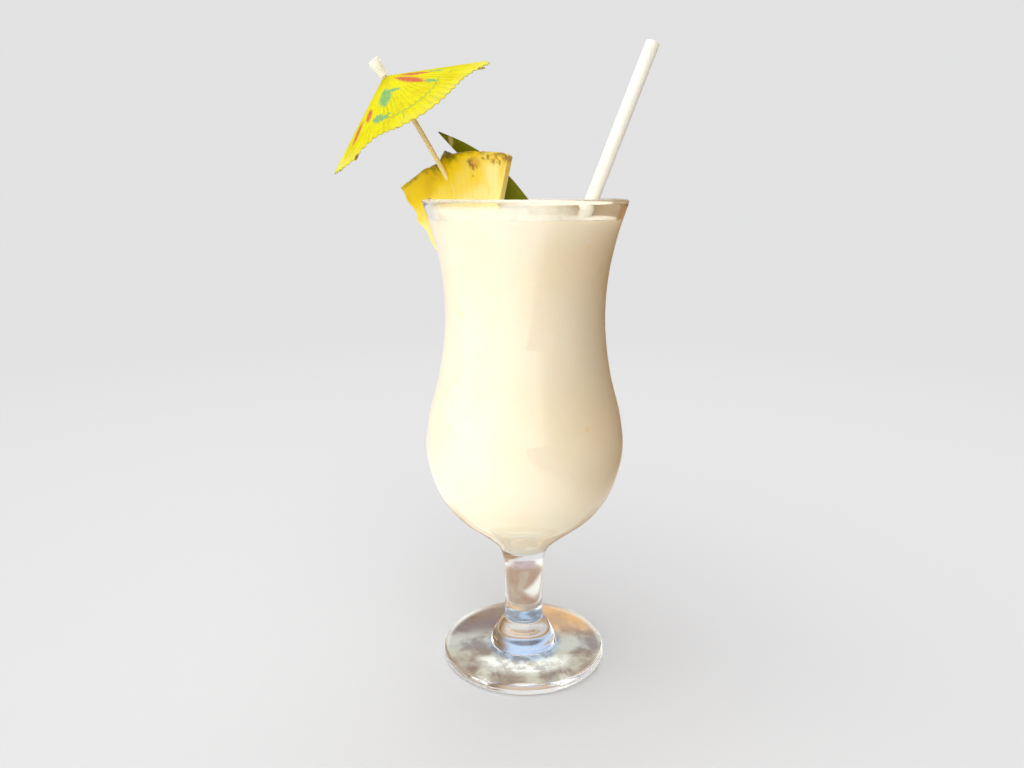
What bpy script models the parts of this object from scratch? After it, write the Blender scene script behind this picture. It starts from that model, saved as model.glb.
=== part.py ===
"""Pina colada in a tall waisted glass, with a paper umbrella, a pineapple slice, a leaf and a straw.

The origin is the middle of the glass's underside, +Z is up, and the umbrella is at -X.
Lengths are in metres, apart from the three tables of the glass, which are in millimetres.
"""
from math import cos, exp, pi, radians, sin, sqrt, tan

import bmesh
import bpy
import numpy as np
from mathutils import Matrix, Vector

MM = 0.001

# Clear gap between pieces that touch, and the distance below which two points are one.
GAP = 0.3 * MM
MERGE = 0.05 * MM

# Glass: (height, radius) of its outside in millimetres, for the bowl and for the stem.
GLASS_HEIGHT = 200.0 * MM
BOWL_KNOTS = [(44.0, 8.6), (52.0, 11.4), (60.0, 19.9), (68.0, 29.4), (77.0, 36.2), (87.0, 40.0),
              (98.0, 41.8), (110.0, 40.6), (130.0, 35.6), (153.0, 32.9), (170.0, 33.8),
              (186.0, 37.0), (200.0, 41.4)]
STEM_KNOTS = [(17.0, 8.6), (30.0, 8.3), (44.0, 8.6)]
STEM_BOTTOM = 17.0 * MM
STEM_TOP = 44.0 * MM
STEM_POINTS = 5
FOOT_KNOTS = [(15.6, 9.6), (12.6, 11.4), (9.2, 13.4), (5.9, 14.5), (5.2, 16.2), (4.8, 25.0)]
FOOT_RADIUS = 36.1 * MM
FOOT_EDGE = 4.2 * MM
WALL_AT_RIM = 2.1 * MM
WALL_IN_BOWL = 2.5 * MM
LIP_HEIGHT = 2.0 * MM
BOWL_FLOOR = 50.5 * MM
FLOOR_HALF_WIDTH = 8.0 * MM
FLOOR_MEETS_WALL = 61.0 * MM
FLOOR_PULL = 7.0 * MM
GLASS_STEPS = 44
WALL_POINTS = 18
WALL_CUTTER_FOOT = 150.0 * MM
WALL_CUTTER_POINTS = 9

# Drink: opaque, and filled to just under the rim.
DRINK_LEVEL = 192.1 * MM

# Straw: a paper tube that leans on the inside of the rim.
STRAW_RADIUS = 3.0 * MM
STRAW_WALL = 0.5 * MM
STRAW_AT_RIM = Vector((28.0, 21.2, 198.0)) * MM
STRAW_LEAN = radians(24.2)
STRAW_HEADING = radians(28.0)
STRAW_TOP = 263.5 * MM
STRAW_FOOT = 72.0 * MM
STRAW_SIDES = 24

# Pineapple slice: a sector that stands on its point and is slit to sit over the rim.
# Sideways sizes are measured from the point, along the slice's front face.
SLICE_POINT = Vector((-20.1, -0.21, 149.3)) * MM
SLICE_TURN = radians(-6.0)
SLICE_THICKNESS = 16.0 * MM
SLICE_LEFT = radians(-31.4)
SLICE_RIGHT = radians(11.4)
SLICE_CORE = 15.0 * MM
SLICE_RADIUS = 68.8 * MM
PEELED_RADIUS = 66.2 * MM
PEELED_CORNER = 64.3 * MM
PEEL_STEP = radians(-13.0)
PEEL_STEP_WIDTH = radians(2.0)
SKIN_BUMP = 1.7 * MM
SKIN_BUMP_AT = radians(-10.8)
SKIN_BUMP_WIDTH = radians(1.4)
FURROW = 0.35 * MM
TORN_WAVE = 0.75 * MM
TORN_PITCH = 8.8 * MM
TORN_AT = 190.6 * MM
TORN_FROM = 0.45
POINT_SHIFT = 1.9 * MM
RIDGE_SIDE = -10.3 * MM
RIDGE_TOP = 210.0 * MM
RIDGE_LEAN = 1.8e6
PEELED_SLOPE = tan(radians(33.0))
SLICE_CUTS = 12

# Leaf: one long blade behind the slice, from its tip to its trimmed foot, as (x, z).
LEAF_TIP = Vector((-35.5, 226.6)) * MM
LEAF_FOOT = Vector((-1.6, 195.8)) * MM
LEAF_BOW = 2.2 * MM
LEAF_HALF_WIDTH = 4.9 * MM
LEAF_TRIM = 198.8 * MM
LEAF_THICKNESS = 0.6 * MM
LEAF_CLEARANCE = 0.75 * MM
LEAF_CHANNEL = 1.1 * MM
LEAF_WAVE = 0.25 * MM
LEAF_COLUMNS = 26
LEAF_ROWS = 6

# Umbrella: its line from the top of the canopy, the bent end of its pick, and its paper.
APEX = Vector((-53.0, -8.5, 244.5)) * MM
UMBRELLA_LEAN = radians(36.0)
UMBRELLA_HEADING = radians(204.2)
PICK_RADIUS = 1.0 * MM
PICK_STRAIGHT = 17.5 * MM
PICK_PULL = 8.0 * MM
PICK_TIP = Vector((-21.5, 8.6, 189.6)) * MM
PICK_POINT = 0.35
CANOPY_HALF_ANGLE = radians(64.0)
RIB_SLANTS = [40.0, 40.4, 39.8, 40.8, 42.8, 36.9, 33.4, 35.0]
EDGE_DIPS = [1.4, 1.0, 1.5, 1.2, 0.3, 4.0, -1.6, 2.6]
PLEATS = 64
PLEAT_DEPTH = 0.45 * MM
PAPER = 0.45 * MM
CANOPY_HOLE = 1.45 * MM
KNOB_LENGTH = 6.9 * MM
KNOB_RADIUS = 2.3 * MM
KNOB_EDGE = 0.5 * MM
KNOB_WAIST = 1.8 * MM
KNOB_FOOT = 1.55 * MM
KNOB_LIFT = 0.75 * MM
KNOB_ROOF = 1.7 * MM
PICK_SHORT_OF_KNOB = 2.2 * MM
RIB_WIDTH = 1.3 * MM
RIB_THICKNESS = 0.5 * MM
RIB_START = 5.2 * MM
RIB_SHORT_OF_EDGE = 2.2 * MM
RIB_DROP = 1.35 * MM
CROWN_RADIUS = 3.4 * MM
CROWN_GAP = 0.9 * MM
CROWN_THICKNESS = 1.2 * MM
RUNNER_DROP = 13.5 * MM
RUNNER_RADIUS = 2.6 * MM
RUNNER_LENGTH = 3.0 * MM
STRUT_REACH = 0.55
STRUT_WIDTH = 1.0 * MM
STRUT_CLEARANCE = 0.55 * MM
SMALL_STEPS = 20


def clear_scene():
    for item in list(bpy.data.objects):
        bpy.data.objects.remove(item, do_unlink=True)


def new_collection(name):
    group = bpy.data.collections.new(name)
    bpy.context.scene.collection.children.link(group)
    return group


def make_material(name, colour, roughness, transmission=0.0):
    material = bpy.data.materials.new(name)
    material.use_nodes = True
    shader = material.node_tree.nodes["Principled BSDF"]
    shader.inputs["Base Color"].default_value = (*colour, 1.0)
    shader.inputs["Roughness"].default_value = roughness
    shader.inputs["Metallic"].default_value = 0.0
    shader.inputs["Transmission Weight"].default_value = transmission
    return material


def add_object(name, data, group, material=None):
    item = bpy.data.objects.new(name, data)
    group.objects.link(item)
    if material:
        data.materials.append(material)
    return item


def mesh_from(name, bm):
    mesh = bpy.data.meshes.new(name)
    bm.to_mesh(mesh)
    bm.free()
    return mesh


def as_cutter(item):
    item.hide_render = True
    item.display_type = "WIRE"
    return item


def cut(item, cutter):
    """Takes the cutter's shape out of the item."""
    tool = item.modifiers.new("Cut " + cutter.name, "BOOLEAN")
    tool.operation = "DIFFERENCE"
    tool.object = cutter


def smooth_radius(knots, height):
    """Radius at a height, in metres, on a smooth curve through knots in millimetres."""
    heights = [h for h, _ in knots]
    radii = [r for _, r in knots]
    spans = np.diff(heights)
    slopes = np.diff(radii) / spans
    tangents = [slopes[0]]
    for i in range(1, len(knots) - 1):
        mixed = slopes[i - 1] * spans[i] + slopes[i] * spans[i - 1]
        tangents.append(mixed / (spans[i - 1] + spans[i]))
    tangents.append(slopes[-1])
    level = height / MM
    i = min(max(int(np.searchsorted(heights, level)) - 1, 0), len(knots) - 2)
    t = (level - heights[i]) / spans[i]
    ends = radii[i] * (1 + 2 * t) * (1 - t) ** 2 + radii[i + 1] * t * t * (3 - 2 * t)
    bends = spans[i] * t * (1 - t) * (tangents[i] * (1 - t) - tangents[i + 1] * t)
    return (ends + bends) * MM


def wall_point(height, inwards):
    """Point that lies square to the bowl's outside at a height, some way inwards from it."""
    step = 0.2 * MM
    rise = smooth_radius(BOWL_KNOTS, height + step) - smooth_radius(BOWL_KNOTS, height - step)
    slope = rise / (2 * step)
    length = sqrt(1 + slope * slope)
    radius = smooth_radius(BOWL_KNOTS, height) - inwards / length
    return Vector((radius, 0, height + inwards * slope / length))


def wall_thickness(height):
    return WALL_IN_BOWL + (WALL_AT_RIM - WALL_IN_BOWL) * (height / GLASS_HEIGHT) ** 3


def cubic(a, b, c, d, t):
    u = 1 - t
    return a * u ** 3 + b * (3 * u * u * t) + c * (3 * u * t * t) + d * t ** 3


def evenly(points, count):
    """The same line with evenly spaced points."""
    line = np.array([p[:] for p in points])
    lengths = np.concatenate(([0], np.cumsum(np.linalg.norm(np.diff(line, axis=0), axis=1))))
    wanted = np.linspace(0, lengths[-1], count)
    return [Vector([np.interp(w, lengths, line[:, k]) for k in range(3)]) for w in wanted]


def inside_line():
    """The bowl's inner wall from the axis to just under the lip."""
    heights = np.linspace(FLOOR_MEETS_WALL, GLASS_HEIGHT - LIP_HEIGHT, 300)
    wall = [wall_point(h, wall_thickness(h)) for h in heights]
    low = wall[0]
    down = (wall[0] - wall[1]).normalized() * FLOOR_PULL
    floor = Vector((0, 0, BOWL_FLOOR))
    bend = floor + Vector((FLOOR_HALF_WIDTH, 0, 0))
    bowl = [cubic(floor, bend, low + down, low, t) for t in np.linspace(0, 1, 40)]
    return evenly(bowl[:-1] + wall, WALL_POINTS)


def moved_in(points, distance):
    """A line up the inner wall, moved into the hollow."""
    moved = []
    for i, point in enumerate(points):
        run = points[min(i + 1, len(points) - 1)] - points[max(i - 1, 0)]
        square = Vector((-run.z, 0, run.x)).normalized()
        moved.append(point + square * distance)
    if moved[0].x < distance:
        moved[0] = points[0] + Vector((0, 0, distance))
    return moved


def up_to(points, height):
    """The part of a rising line below a height, ending exactly there."""
    low = [p for p in points if p.z < height - MERGE]
    after = points[len(low)]
    part = (height - low[-1].z) / (after.z - low[-1].z)
    return low + [low[-1].lerp(after, part)]


def arc(centre, radius, start, end, count):
    """Points of an arc in the XZ plane, with both of its ends."""
    angles = np.radians(np.linspace(start, end, count))
    return [centre + Vector((radius * cos(a), 0, radius * sin(a))) for a in angles]


def turned(name, points, group, material, steps=GLASS_STEPS, closed=False):
    """Solid turned round Z from a profile that runs down its outer side."""
    bm = bmesh.new()
    corners = [bm.verts.new(p) for p in points]
    for a, b in zip(corners, corners[1:]):
        bm.edges.new((a, b))
    if closed:
        bm.edges.new((corners[-1], corners[0]))
    item = add_object(name, mesh_from(name, bm), group, material)
    screw = item.modifiers.new("Turn", "SCREW")
    screw.axis = "Z"
    screw.steps = steps
    screw.render_steps = steps
    screw.use_merge_vertices = True
    screw.merge_threshold = MERGE
    screw.use_smooth_shade = True
    return item


def lip(grow=0.0):
    """Round lip of the rim, from its inner side over the top to its outer side."""
    radius = WALL_AT_RIM / 2
    outer = wall_point(GLASS_HEIGHT - radius, 0)
    centre = Vector((outer.x - radius, 0, GLASS_HEIGHT - radius))
    return arc(centre, radius + grow, 172, 8, 6)


def outside_line():
    """The bowl's outside from just under the lip down to the stem."""
    heights = np.linspace(GLASS_HEIGHT - LIP_HEIGHT, STEM_TOP, 200)
    return evenly([wall_point(h, 0) for h in heights], WALL_POINTS)


def foot_line():
    """Outside of the stem, the hub and the plate, down to the middle of the underside."""
    heights = np.linspace(STEM_TOP, STEM_BOTTOM, STEM_POINTS)[1:]
    stem = [Vector((smooth_radius(STEM_KNOTS, h), 0, h)) for h in heights]
    hub = [Vector((radius, 0, height)) * MM for height, radius in FOOT_KNOTS]
    half = FOOT_EDGE / 2
    edge = arc(Vector((FOOT_RADIUS - half, 0, half)), half, 90, -90, 8)
    return stem + hub + edge + [Vector((0, 0, 0))]


def make_glass(group):
    glass = make_material("clear glass", (0.96, 0.98, 0.97), 0.02, 1.0)
    return turned("glass", inside_line() + lip() + outside_line() + foot_line(), group, glass)


def make_drink(group):
    cream = make_material("cream drink", (0.93, 0.84, 0.62), 0.45)
    wall = up_to(moved_in(inside_line(), GAP), DRINK_LEVEL)
    wall.reverse()
    return turned("drink", [Vector((0, 0, DRINK_LEVEL))] + wall, group, cream)


def make_wall_cutter(group):
    """The upper wall of the bowl with the gap all round it, which slits the slice."""
    inner = [p for p in moved_in(inside_line(), GAP) if p.z > WALL_CUTTER_FOOT]
    heights = np.linspace(GLASS_HEIGHT - LIP_HEIGHT, inner[0].z, WALL_CUTTER_POINTS)
    ring = inner + lip(GAP) + [wall_point(h, -GAP) for h in heights]
    return as_cutter(turned("wall cutter", ring, group, None, closed=True))


def along(lean, heading):
    """Direction that leans from the vertical towards a heading."""
    return Vector((sin(lean) * cos(heading), sin(lean) * sin(heading), cos(lean)))


def stand_along(item, direction, place):
    """Turns an object's Z to a direction, with its X as near the world's as it goes."""
    side = (Vector((1, 0, 0)) - direction * direction.x).normalized()
    turn = Matrix((side, direction.cross(side), direction)).transposed()
    item.matrix_world = Matrix.Translation(place) @ turn.to_4x4()
    return item


def straw_place():
    """Direction of the straw, the middle of its foot and its length."""
    direction = along(STRAW_LEAN, STRAW_HEADING)
    foot = STRAW_AT_RIM - direction * ((STRAW_AT_RIM.z - STRAW_FOOT) / direction.z)
    return direction, foot, (STRAW_TOP - STRAW_FOOT) / direction.z


def make_straw(group):
    paper = make_material("white paper straw", (0.9, 0.87, 0.78), 0.6)
    direction, foot, length = straw_place()
    inner = STRAW_RADIUS - STRAW_WALL
    section = [Vector((inner, 0, 0)), Vector((inner, 0, length)), Vector((STRAW_RADIUS, 0, length)),
               Vector((STRAW_RADIUS, 0, 0))]
    straw = turned("straw", section, group, paper, STRAW_SIDES, closed=True)
    return stand_along(straw, direction, foot)


def make_straw_cutter(group):
    direction, foot, length = straw_place()
    radius = STRAW_RADIUS + GAP
    rod = [Vector((0, 0, length)), Vector((radius, 0, length)), Vector((radius, 0, -GAP)),
           Vector((0, 0, -GAP))]
    cutter = as_cutter(turned("straw cutter", rod, group, None, STRAW_SIDES))
    return stand_along(cutter, direction, foot)


def ease(x):
    x = min(max(x, 0.0), 1.0)
    return x * x * (3 - 2 * x)


def slice_radius(angle):
    """Outer radius of the slice: less where the peel was cut deep, with a bit of skin left."""
    corner = ease((angle - SLICE_LEFT) / (PEEL_STEP - SLICE_LEFT))
    peeled = PEELED_CORNER + (PEELED_RADIUS - PEELED_CORNER) * corner
    step = ease((angle - PEEL_STEP) / PEEL_STEP_WIDTH)
    bump = SKIN_BUMP * exp(-((angle - SKIN_BUMP_AT) / SKIN_BUMP_WIDTH) ** 2)
    return peeled + (SLICE_RADIUS - peeled) * step + bump


def peeled_depth(side, height):
    """How far the peeled left of the front face lies behind the flat face."""
    beyond = RIDGE_SIDE + RIDGE_LEAN * max(height - RIDGE_TOP, 0.0) ** 4 - side
    return PEELED_SLOPE * max(beyond, 0.0)


def torn_edge(height, outwards):
    """How far the torn left side stands out at a height: most along the middle of its length."""
    wave = cos(2 * pi * (height - TORN_AT) / TORN_PITCH)
    fade = ease((outwards - TORN_FROM) / 0.15) * (1 - outwards ** 8)
    return TORN_WAVE * wave * fade - POINT_SHIFT * (1 - outwards)


def slice_point(across, through, outwards):
    """Point of the slice from three fractions: left to right, front to back, core to peel."""
    angle = SLICE_LEFT + (SLICE_RIGHT - SLICE_LEFT) * across
    furrow = FURROW * sin(9 * pi * across + 5 * pi * through) * outwards ** 6
    radius = SLICE_CORE + (slice_radius(angle) + furrow - SLICE_CORE) * outwards
    height = SLICE_POINT.z + radius * cos(angle)
    side = radius * sin(angle) - torn_edge(height, outwards) * (1 - ease(across / 0.3))
    front = peeled_depth(side, height)
    depth = front + (SLICE_THICKNESS - front) * through
    along_face = Vector((cos(SLICE_TURN), sin(SLICE_TURN), 0))
    backwards = Vector((-sin(SLICE_TURN), cos(SLICE_TURN), 0))
    return Vector((SLICE_POINT.x, SLICE_POINT.y, height)) + along_face * side + backwards * depth


def slice_block(name, group, material, grow=0.0):
    """The slice as a cube whose cut-up faces are moved to the sector's shape, then grown."""
    bm = bmesh.new()
    bmesh.ops.create_cube(bm, size=1.0)
    bmesh.ops.subdivide_edges(bm, edges=bm.edges[:], cuts=SLICE_CUTS, use_grid_fill=True)
    for corner in bm.verts:
        x, y, z = (c + 0.5 for c in corner.co)
        corner.co = slice_point(x, y, z)
    bmesh.ops.triangulate(bm, faces=bm.faces[:])
    bm.normal_update()
    moves = [corner.normal * (grow * corner.calc_shell_factor()) for corner in bm.verts]
    for corner, move in zip(bm.verts, moves):
        corner.co += move
    mesh = mesh_from(name, bm)
    mesh.shade_smooth()
    mesh.set_sharp_from_angle(angle=radians(35))
    return add_object(name, mesh, group, material)


def make_slice(group):
    flesh = make_material("pineapple flesh", (0.95, 0.72, 0.16), 0.4)
    return slice_block("pineapple_slice", group, flesh)


def leaf_point(along_leaf, across):
    """Point of the blade from its tip (0) to its foot (1), and from one edge (-1) to the other."""
    run = LEAF_FOOT - LEAF_TIP
    upper = Vector((-run.y, run.x)).normalized()
    middle = LEAF_TIP + run * along_leaf + upper * LEAF_BOW * sin(pi * along_leaf)
    taper = sin(pi / 2 * min(1.0, along_leaf / 0.85)) ** 0.8
    place = middle + upper * LEAF_HALF_WIDTH * taper * across
    channel = LEAF_CHANNEL * across * across * taper
    wave = LEAF_WAVE * (1 + sin(4 * pi * along_leaf + 2 * across))
    side = place.x - SLICE_POINT.x
    back = SLICE_POINT.y + SLICE_THICKNESS + side * tan(SLICE_TURN)
    return Vector((place.x, back + LEAF_CLEARANCE + channel + wave, place.y))


def make_leaf(group):
    green = make_material("leaf", (0.12, 0.2, 0.02), 0.45)
    bm = bmesh.new()
    bmesh.ops.create_grid(bm, x_segments=LEAF_COLUMNS, y_segments=LEAF_ROWS, size=1.0)
    for corner in bm.verts:
        corner.co = leaf_point((corner.co.x + 1) / 2, corner.co.y)
    bmesh.ops.bisect_plane(bm, geom=bm.verts[:] + bm.edges[:] + bm.faces[:],
                           plane_co=(0, 0, LEAF_TRIM), plane_no=(0, 0, -1), clear_outer=True)
    bmesh.ops.remove_doubles(bm, verts=bm.verts[:], dist=MERGE)
    bmesh.ops.triangulate(bm, faces=bm.faces[:])
    mesh = mesh_from("leaf", bm)
    mesh.shade_smooth()
    leaf = add_object("leaf", mesh, group, green)
    blade = leaf.modifiers.new("Thickness", "SOLIDIFY")
    blade.thickness = LEAF_THICKNESS
    blade.offset = 0.0
    return leaf


def pick_points():
    """The pick's line: straight through the umbrella, then slightly bent down into the flesh."""
    direction = along(UMBRELLA_LEAN, UMBRELLA_HEADING)
    top = APEX + direction * (KNOB_LENGTH - PICK_SHORT_OF_KNOB)
    start = APEX - direction * PICK_STRAIGHT
    pull = start - direction * PICK_PULL
    bend = [cubic(start, pull, pull.lerp(PICK_TIP, 0.5), PICK_TIP, t) for t in np.linspace(0, 1, 8)]
    return [top] + bend


def pick_curve(name, group, radius, material=None):
    data = bpy.data.curves.new(name, "CURVE")
    data.dimensions = "3D"
    data.bevel_depth = radius
    data.bevel_resolution = 2
    data.use_fill_caps = True
    points = pick_points()
    spline = data.splines.new("POLY")
    spline.points.add(len(points) - 1)
    for knot, place in zip(spline.points, points):
        knot.co = (*place, 1.0)
    spline.points[len(points) - 1].radius = PICK_POINT
    spline.use_smooth = True
    return add_object(name, data, group, material)


def curve_to_mesh(item, group):
    """Turns a curve object into a closed mesh object of the same name."""
    graph = bpy.context.evaluated_depsgraph_get()
    mesh = bpy.data.meshes.new_from_object(item.evaluated_get(graph))
    bm = bmesh.new()
    bm.from_mesh(mesh)
    bmesh.ops.remove_doubles(bm, verts=bm.verts[:], dist=MERGE)
    bm.to_mesh(mesh)
    bm.free()
    name = item.name
    place = item.matrix_world.copy()
    bpy.data.objects.remove(item, do_unlink=True)
    solid = add_object(name, mesh, group)
    solid.matrix_world = place
    return solid


def edge_slant(angle):
    """Slant length of the canopy at an angle: the ribs' lengths, with paper dipping between them."""
    turns = (angle / (2 * pi)) % 1.0 * len(RIB_SLANTS)
    rib = int(turns) % len(RIB_SLANTS)
    part = turns - int(turns)
    after = RIB_SLANTS[(rib + 1) % len(RIB_SLANTS)]
    straight = RIB_SLANTS[rib] + (after - RIB_SLANTS[rib]) * part
    return (straight - EDGE_DIPS[rib] * sin(pi * part)) * MM


def canopy_point(angle, slant, lift=0.0):
    """Point of the cone in the umbrella's own frame, whose origin is the top and Z the pick."""
    half = CANOPY_HALF_ANGLE
    radius = slant * sin(half) + lift * cos(half)
    return Vector((radius * cos(angle), radius * sin(angle), -slant * cos(half) + lift * sin(half)))


def make_canopy(group, holder):
    paper = make_material("yellow paper", (1.0, 0.88, 0.05), 0.7)
    columns = 2 * PLEATS
    start = CANOPY_HOLE / sin(CANOPY_HALF_ANGLE)
    bm = bmesh.new()
    rings = []
    for part in (0.0, 0.5, 1.0):
        ring = []
        for i in range(columns):
            angle = 2 * pi * i / columns
            slant = start + (edge_slant(angle) - start) * part
            lift = PLEAT_DEPTH * part * (1 if i % 2 else -1)
            ring.append(bm.verts.new(canopy_point(angle, slant, lift)))
        rings.append(ring)
    for upper, lower in zip(rings, rings[1:]):
        for i in range(columns):
            j = (i + 1) % columns
            bm.faces.new((upper[i], lower[i], lower[j], upper[j]))
    bmesh.ops.triangulate(bm, faces=bm.faces[:])
    canopy = add_object("canopy", mesh_from("canopy", bm), group, paper)
    sheet = canopy.modifiers.new("Paper", "SOLIDIFY")
    sheet.thickness = PAPER
    sheet.offset = 0.0
    canopy.parent = holder
    return canopy


def make_knob(group, holder):
    """Rolled paper on the end of the pick, wider at its top, with a blind hole for the pick."""
    paper = make_material("white rolled paper", (0.93, 0.9, 0.82), 0.7)
    hole = PICK_RADIUS + GAP
    roof = KNOB_LENGTH - KNOB_ROOF
    line = [(0, KNOB_LENGTH), (KNOB_RADIUS - KNOB_EDGE, KNOB_LENGTH), (KNOB_RADIUS, KNOB_LENGTH - KNOB_EDGE),
            (KNOB_RADIUS, 0.72 * KNOB_LENGTH), (KNOB_WAIST, 0.3 * KNOB_LENGTH), (KNOB_FOOT, KNOB_LIFT),
            (hole, KNOB_LIFT), (hole, roof), (0, roof)]
    knob = turned("knob", [Vector((x, 0, z)) for x, z in line], group, paper, SMALL_STEPS)
    knob.parent = holder
    return knob


def ring(name, colour, top, radius, length, group, holder):
    """Card ring round the pick, hanging below a level."""
    card = make_material(name + " card", colour, 0.8)
    hole = PICK_RADIUS + GAP
    line = [(hole, top), (radius, top), (radius, top - length), (hole, top - length)]
    section = [Vector((x, 0, z)) for x, z in line]
    item = turned(name, section, group, card, SMALL_STEPS, closed=True)
    item.parent = holder
    return item


def make_crown(group, holder):
    """Small disc under the paper, which the ribs meet."""
    top = -CROWN_RADIUS / tan(CANOPY_HALF_ANGLE) - CROWN_GAP
    return ring("crown", (0.85, 0.75, 0.5), top, CROWN_RADIUS, CROWN_THICKNESS, group, holder)


def make_runner(group, holder):
    """Ring on the pick that pushes the struts up."""
    return ring("runner", (0.85, 0.75, 0.5), -RUNNER_DROP, RUNNER_RADIUS, RUNNER_LENGTH, group, holder)


def bar(name, start, end, width, thickness, group, material, holder):
    """Flat strip between two points, its width square to the pick."""
    run = end - start
    direction = run.normalized()
    side = direction.cross(Vector((0, 0, 1))).normalized()
    upper = direction.cross(side)
    bm = bmesh.new()
    bmesh.ops.create_cube(bm, size=1.0)
    middle = (start + end) / 2
    for corner in bm.verts:
        x, y, z = corner.co
        corner.co = middle + direction * run.length * x + side * width * y + upper * thickness * z
    item = add_object(name, mesh_from(name, bm), group, material)
    item.parent = holder
    return item


def make_frame(group, holder):
    """Eight ribs under the paper and a strut from the runner to each of them."""
    wood = make_material("split bamboo", (0.8, 0.65, 0.38), 0.6)
    for i, slant in enumerate(RIB_SLANTS):
        angle = 2 * pi * i / len(RIB_SLANTS)
        end = slant * MM - RIB_SHORT_OF_EDGE
        low = -RIB_DROP
        bar("rib_%d" % i, canopy_point(angle, RIB_START, low), canopy_point(angle, end, low),
            RIB_WIDTH, RIB_THICKNESS, group, wood, holder)
        meets = canopy_point(angle, end * STRUT_REACH, low - RIB_THICKNESS - STRUT_CLEARANCE)
        reach = RUNNER_RADIUS + 0.5 * MM
        foot = Vector((reach * cos(angle), reach * sin(angle), -RUNNER_DROP - RUNNER_LENGTH / 2))
        bar("strut_%d" % i, foot, meets, STRUT_WIDTH, RIB_THICKNESS, group, wood, holder)


def main():
    clear_scene()
    group = new_collection("pina colada")
    tools = new_collection("cutters")
    make_glass(group)
    drink = make_drink(group)
    make_straw(group)
    pineapple = make_slice(group)
    make_leaf(group)
    wood = make_material("pick wood", (0.78, 0.58, 0.3), 0.6)
    pick_curve("pick", group, PICK_RADIUS, wood)
    holder = bpy.data.objects.new("umbrella", None)
    group.objects.link(holder)
    stand_along(holder, along(UMBRELLA_LEAN, UMBRELLA_HEADING), APEX)
    make_canopy(group, holder)
    make_knob(group, holder)
    make_crown(group, holder)
    make_runner(group, holder)
    make_frame(group, holder)
    pick_cutter = as_cutter(curve_to_mesh(pick_curve("pick cutter", tools, PICK_RADIUS + GAP), tools))
    cut(pineapple, make_wall_cutter(tools))
    cut(pineapple, pick_cutter)
    cut(drink, as_cutter(slice_block("slice cutter", tools, None, GAP)))
    cut(drink, make_straw_cutter(tools))


main()
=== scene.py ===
# %% [markdown]
# A pina colada: thick cream-coloured drink in a tall waisted glass, with a slit pineapple slice on the
# rim, one leaf, a paper umbrella on a pick and a paper straw. The solids are loaded first as a fixed
# frame. Every finer piece below is worked out from the same sizes, so it lands exactly on its solid.

# %% Load the frame
from math import atan2, cos, exp, hypot, pi, radians, sin, sqrt, tan

import bmesh
import bpy
import numpy as np
from mathutils import Matrix, Vector, noise


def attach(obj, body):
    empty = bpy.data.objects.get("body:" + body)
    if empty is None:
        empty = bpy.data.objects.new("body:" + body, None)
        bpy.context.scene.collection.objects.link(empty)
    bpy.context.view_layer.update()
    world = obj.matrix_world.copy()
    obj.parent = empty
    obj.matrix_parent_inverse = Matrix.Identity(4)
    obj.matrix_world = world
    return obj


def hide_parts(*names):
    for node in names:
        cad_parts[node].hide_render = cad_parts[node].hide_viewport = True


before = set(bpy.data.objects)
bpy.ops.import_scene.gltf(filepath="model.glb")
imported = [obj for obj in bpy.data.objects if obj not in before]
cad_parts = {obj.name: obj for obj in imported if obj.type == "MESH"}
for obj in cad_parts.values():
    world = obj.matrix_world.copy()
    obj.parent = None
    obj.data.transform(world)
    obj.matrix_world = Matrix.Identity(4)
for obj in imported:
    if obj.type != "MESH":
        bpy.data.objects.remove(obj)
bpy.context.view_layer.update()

MM = 0.001

# %% [markdown]
# The camera stands just above the level of the rim and looks a little down, so the rim is almost a
# straight line while the foot shows as a wide oval. A short lens close to the glass gives that strong
# change of view from top to bottom, which a long lens could not.

# %% Camera
EYE = Vector((-5.29, -318.8, 202.6)) * MM
PITCH = radians(13.81)
LENS = 27.47
camera_data = bpy.data.cameras.new("camera")
camera_data.lens = LENS
camera_data.sensor_width = 36
camera_data.clip_start = 0.01
camera = bpy.data.objects.new("camera", camera_data)
bpy.context.scene.collection.objects.link(camera)
camera.location = EYE
camera.rotation_euler = (pi / 2 - PITCH, 0, 0)
bpy.context.scene.camera = camera
bpy.context.scene.view_settings.view_transform = "Standard"
print("camera", round(EYE.length / MM), "mm from the foot's middle")

# %% [markdown]
# Most pieces here are skins: rings of points, worked out by a formula, with faces laid between each ring
# and the next. One helper makes them all. A ring of a single point closes an end, and a tube with a bore
# joins its last ring to its first.

# %% Helpers for shapes


def mesh_of(bm, name):
    """Mesh with smooth shading from a bmesh that is done with."""
    mesh = bpy.data.meshes.new(name)
    bm.to_mesh(mesh)
    bm.free()
    mesh.shade_smooth()
    return mesh


def skin(name, rows, loop=False):
    """Mesh of faces between neighbouring rings of points; with loop, the last meets the first."""
    bm = bmesh.new()
    lines = [[bm.verts.new(p) for p in row] for row in rows]
    for first, second in zip(lines, lines[1:] + (lines[:1] if loop else [])):
        count = max(len(first), len(second))
        for i in range(count):
            j = (i + 1) % count
            corners = [first[i % len(first)], first[j % len(first)]]
            corners += [second[j % len(second)], second[i % len(second)]]
            bm.faces.new(list(dict.fromkeys(corners)))
    bmesh.ops.recalc_face_normals(bm, faces=bm.faces[:])
    return mesh_of(bm, name)


def note_own(mesh, place):
    """Writes on each point where it is in the piece's own frame."""
    back = place.inverted()
    layer = mesh.attributes.new("own", "FLOAT_VECTOR", "POINT")
    layer.data.foreach_set("vector", [c for v in mesh.vertices for c in back @ v.co])


def set_down(mesh, place):
    """Moves a mesh from its own frame into the drink's, and notes where each point was."""
    mesh.transform(place)
    note_own(mesh, place)


def linked(name, data):
    """New object in the scene."""
    item = bpy.data.objects.new(name, data)
    bpy.context.scene.collection.objects.link(item)
    return item


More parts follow.
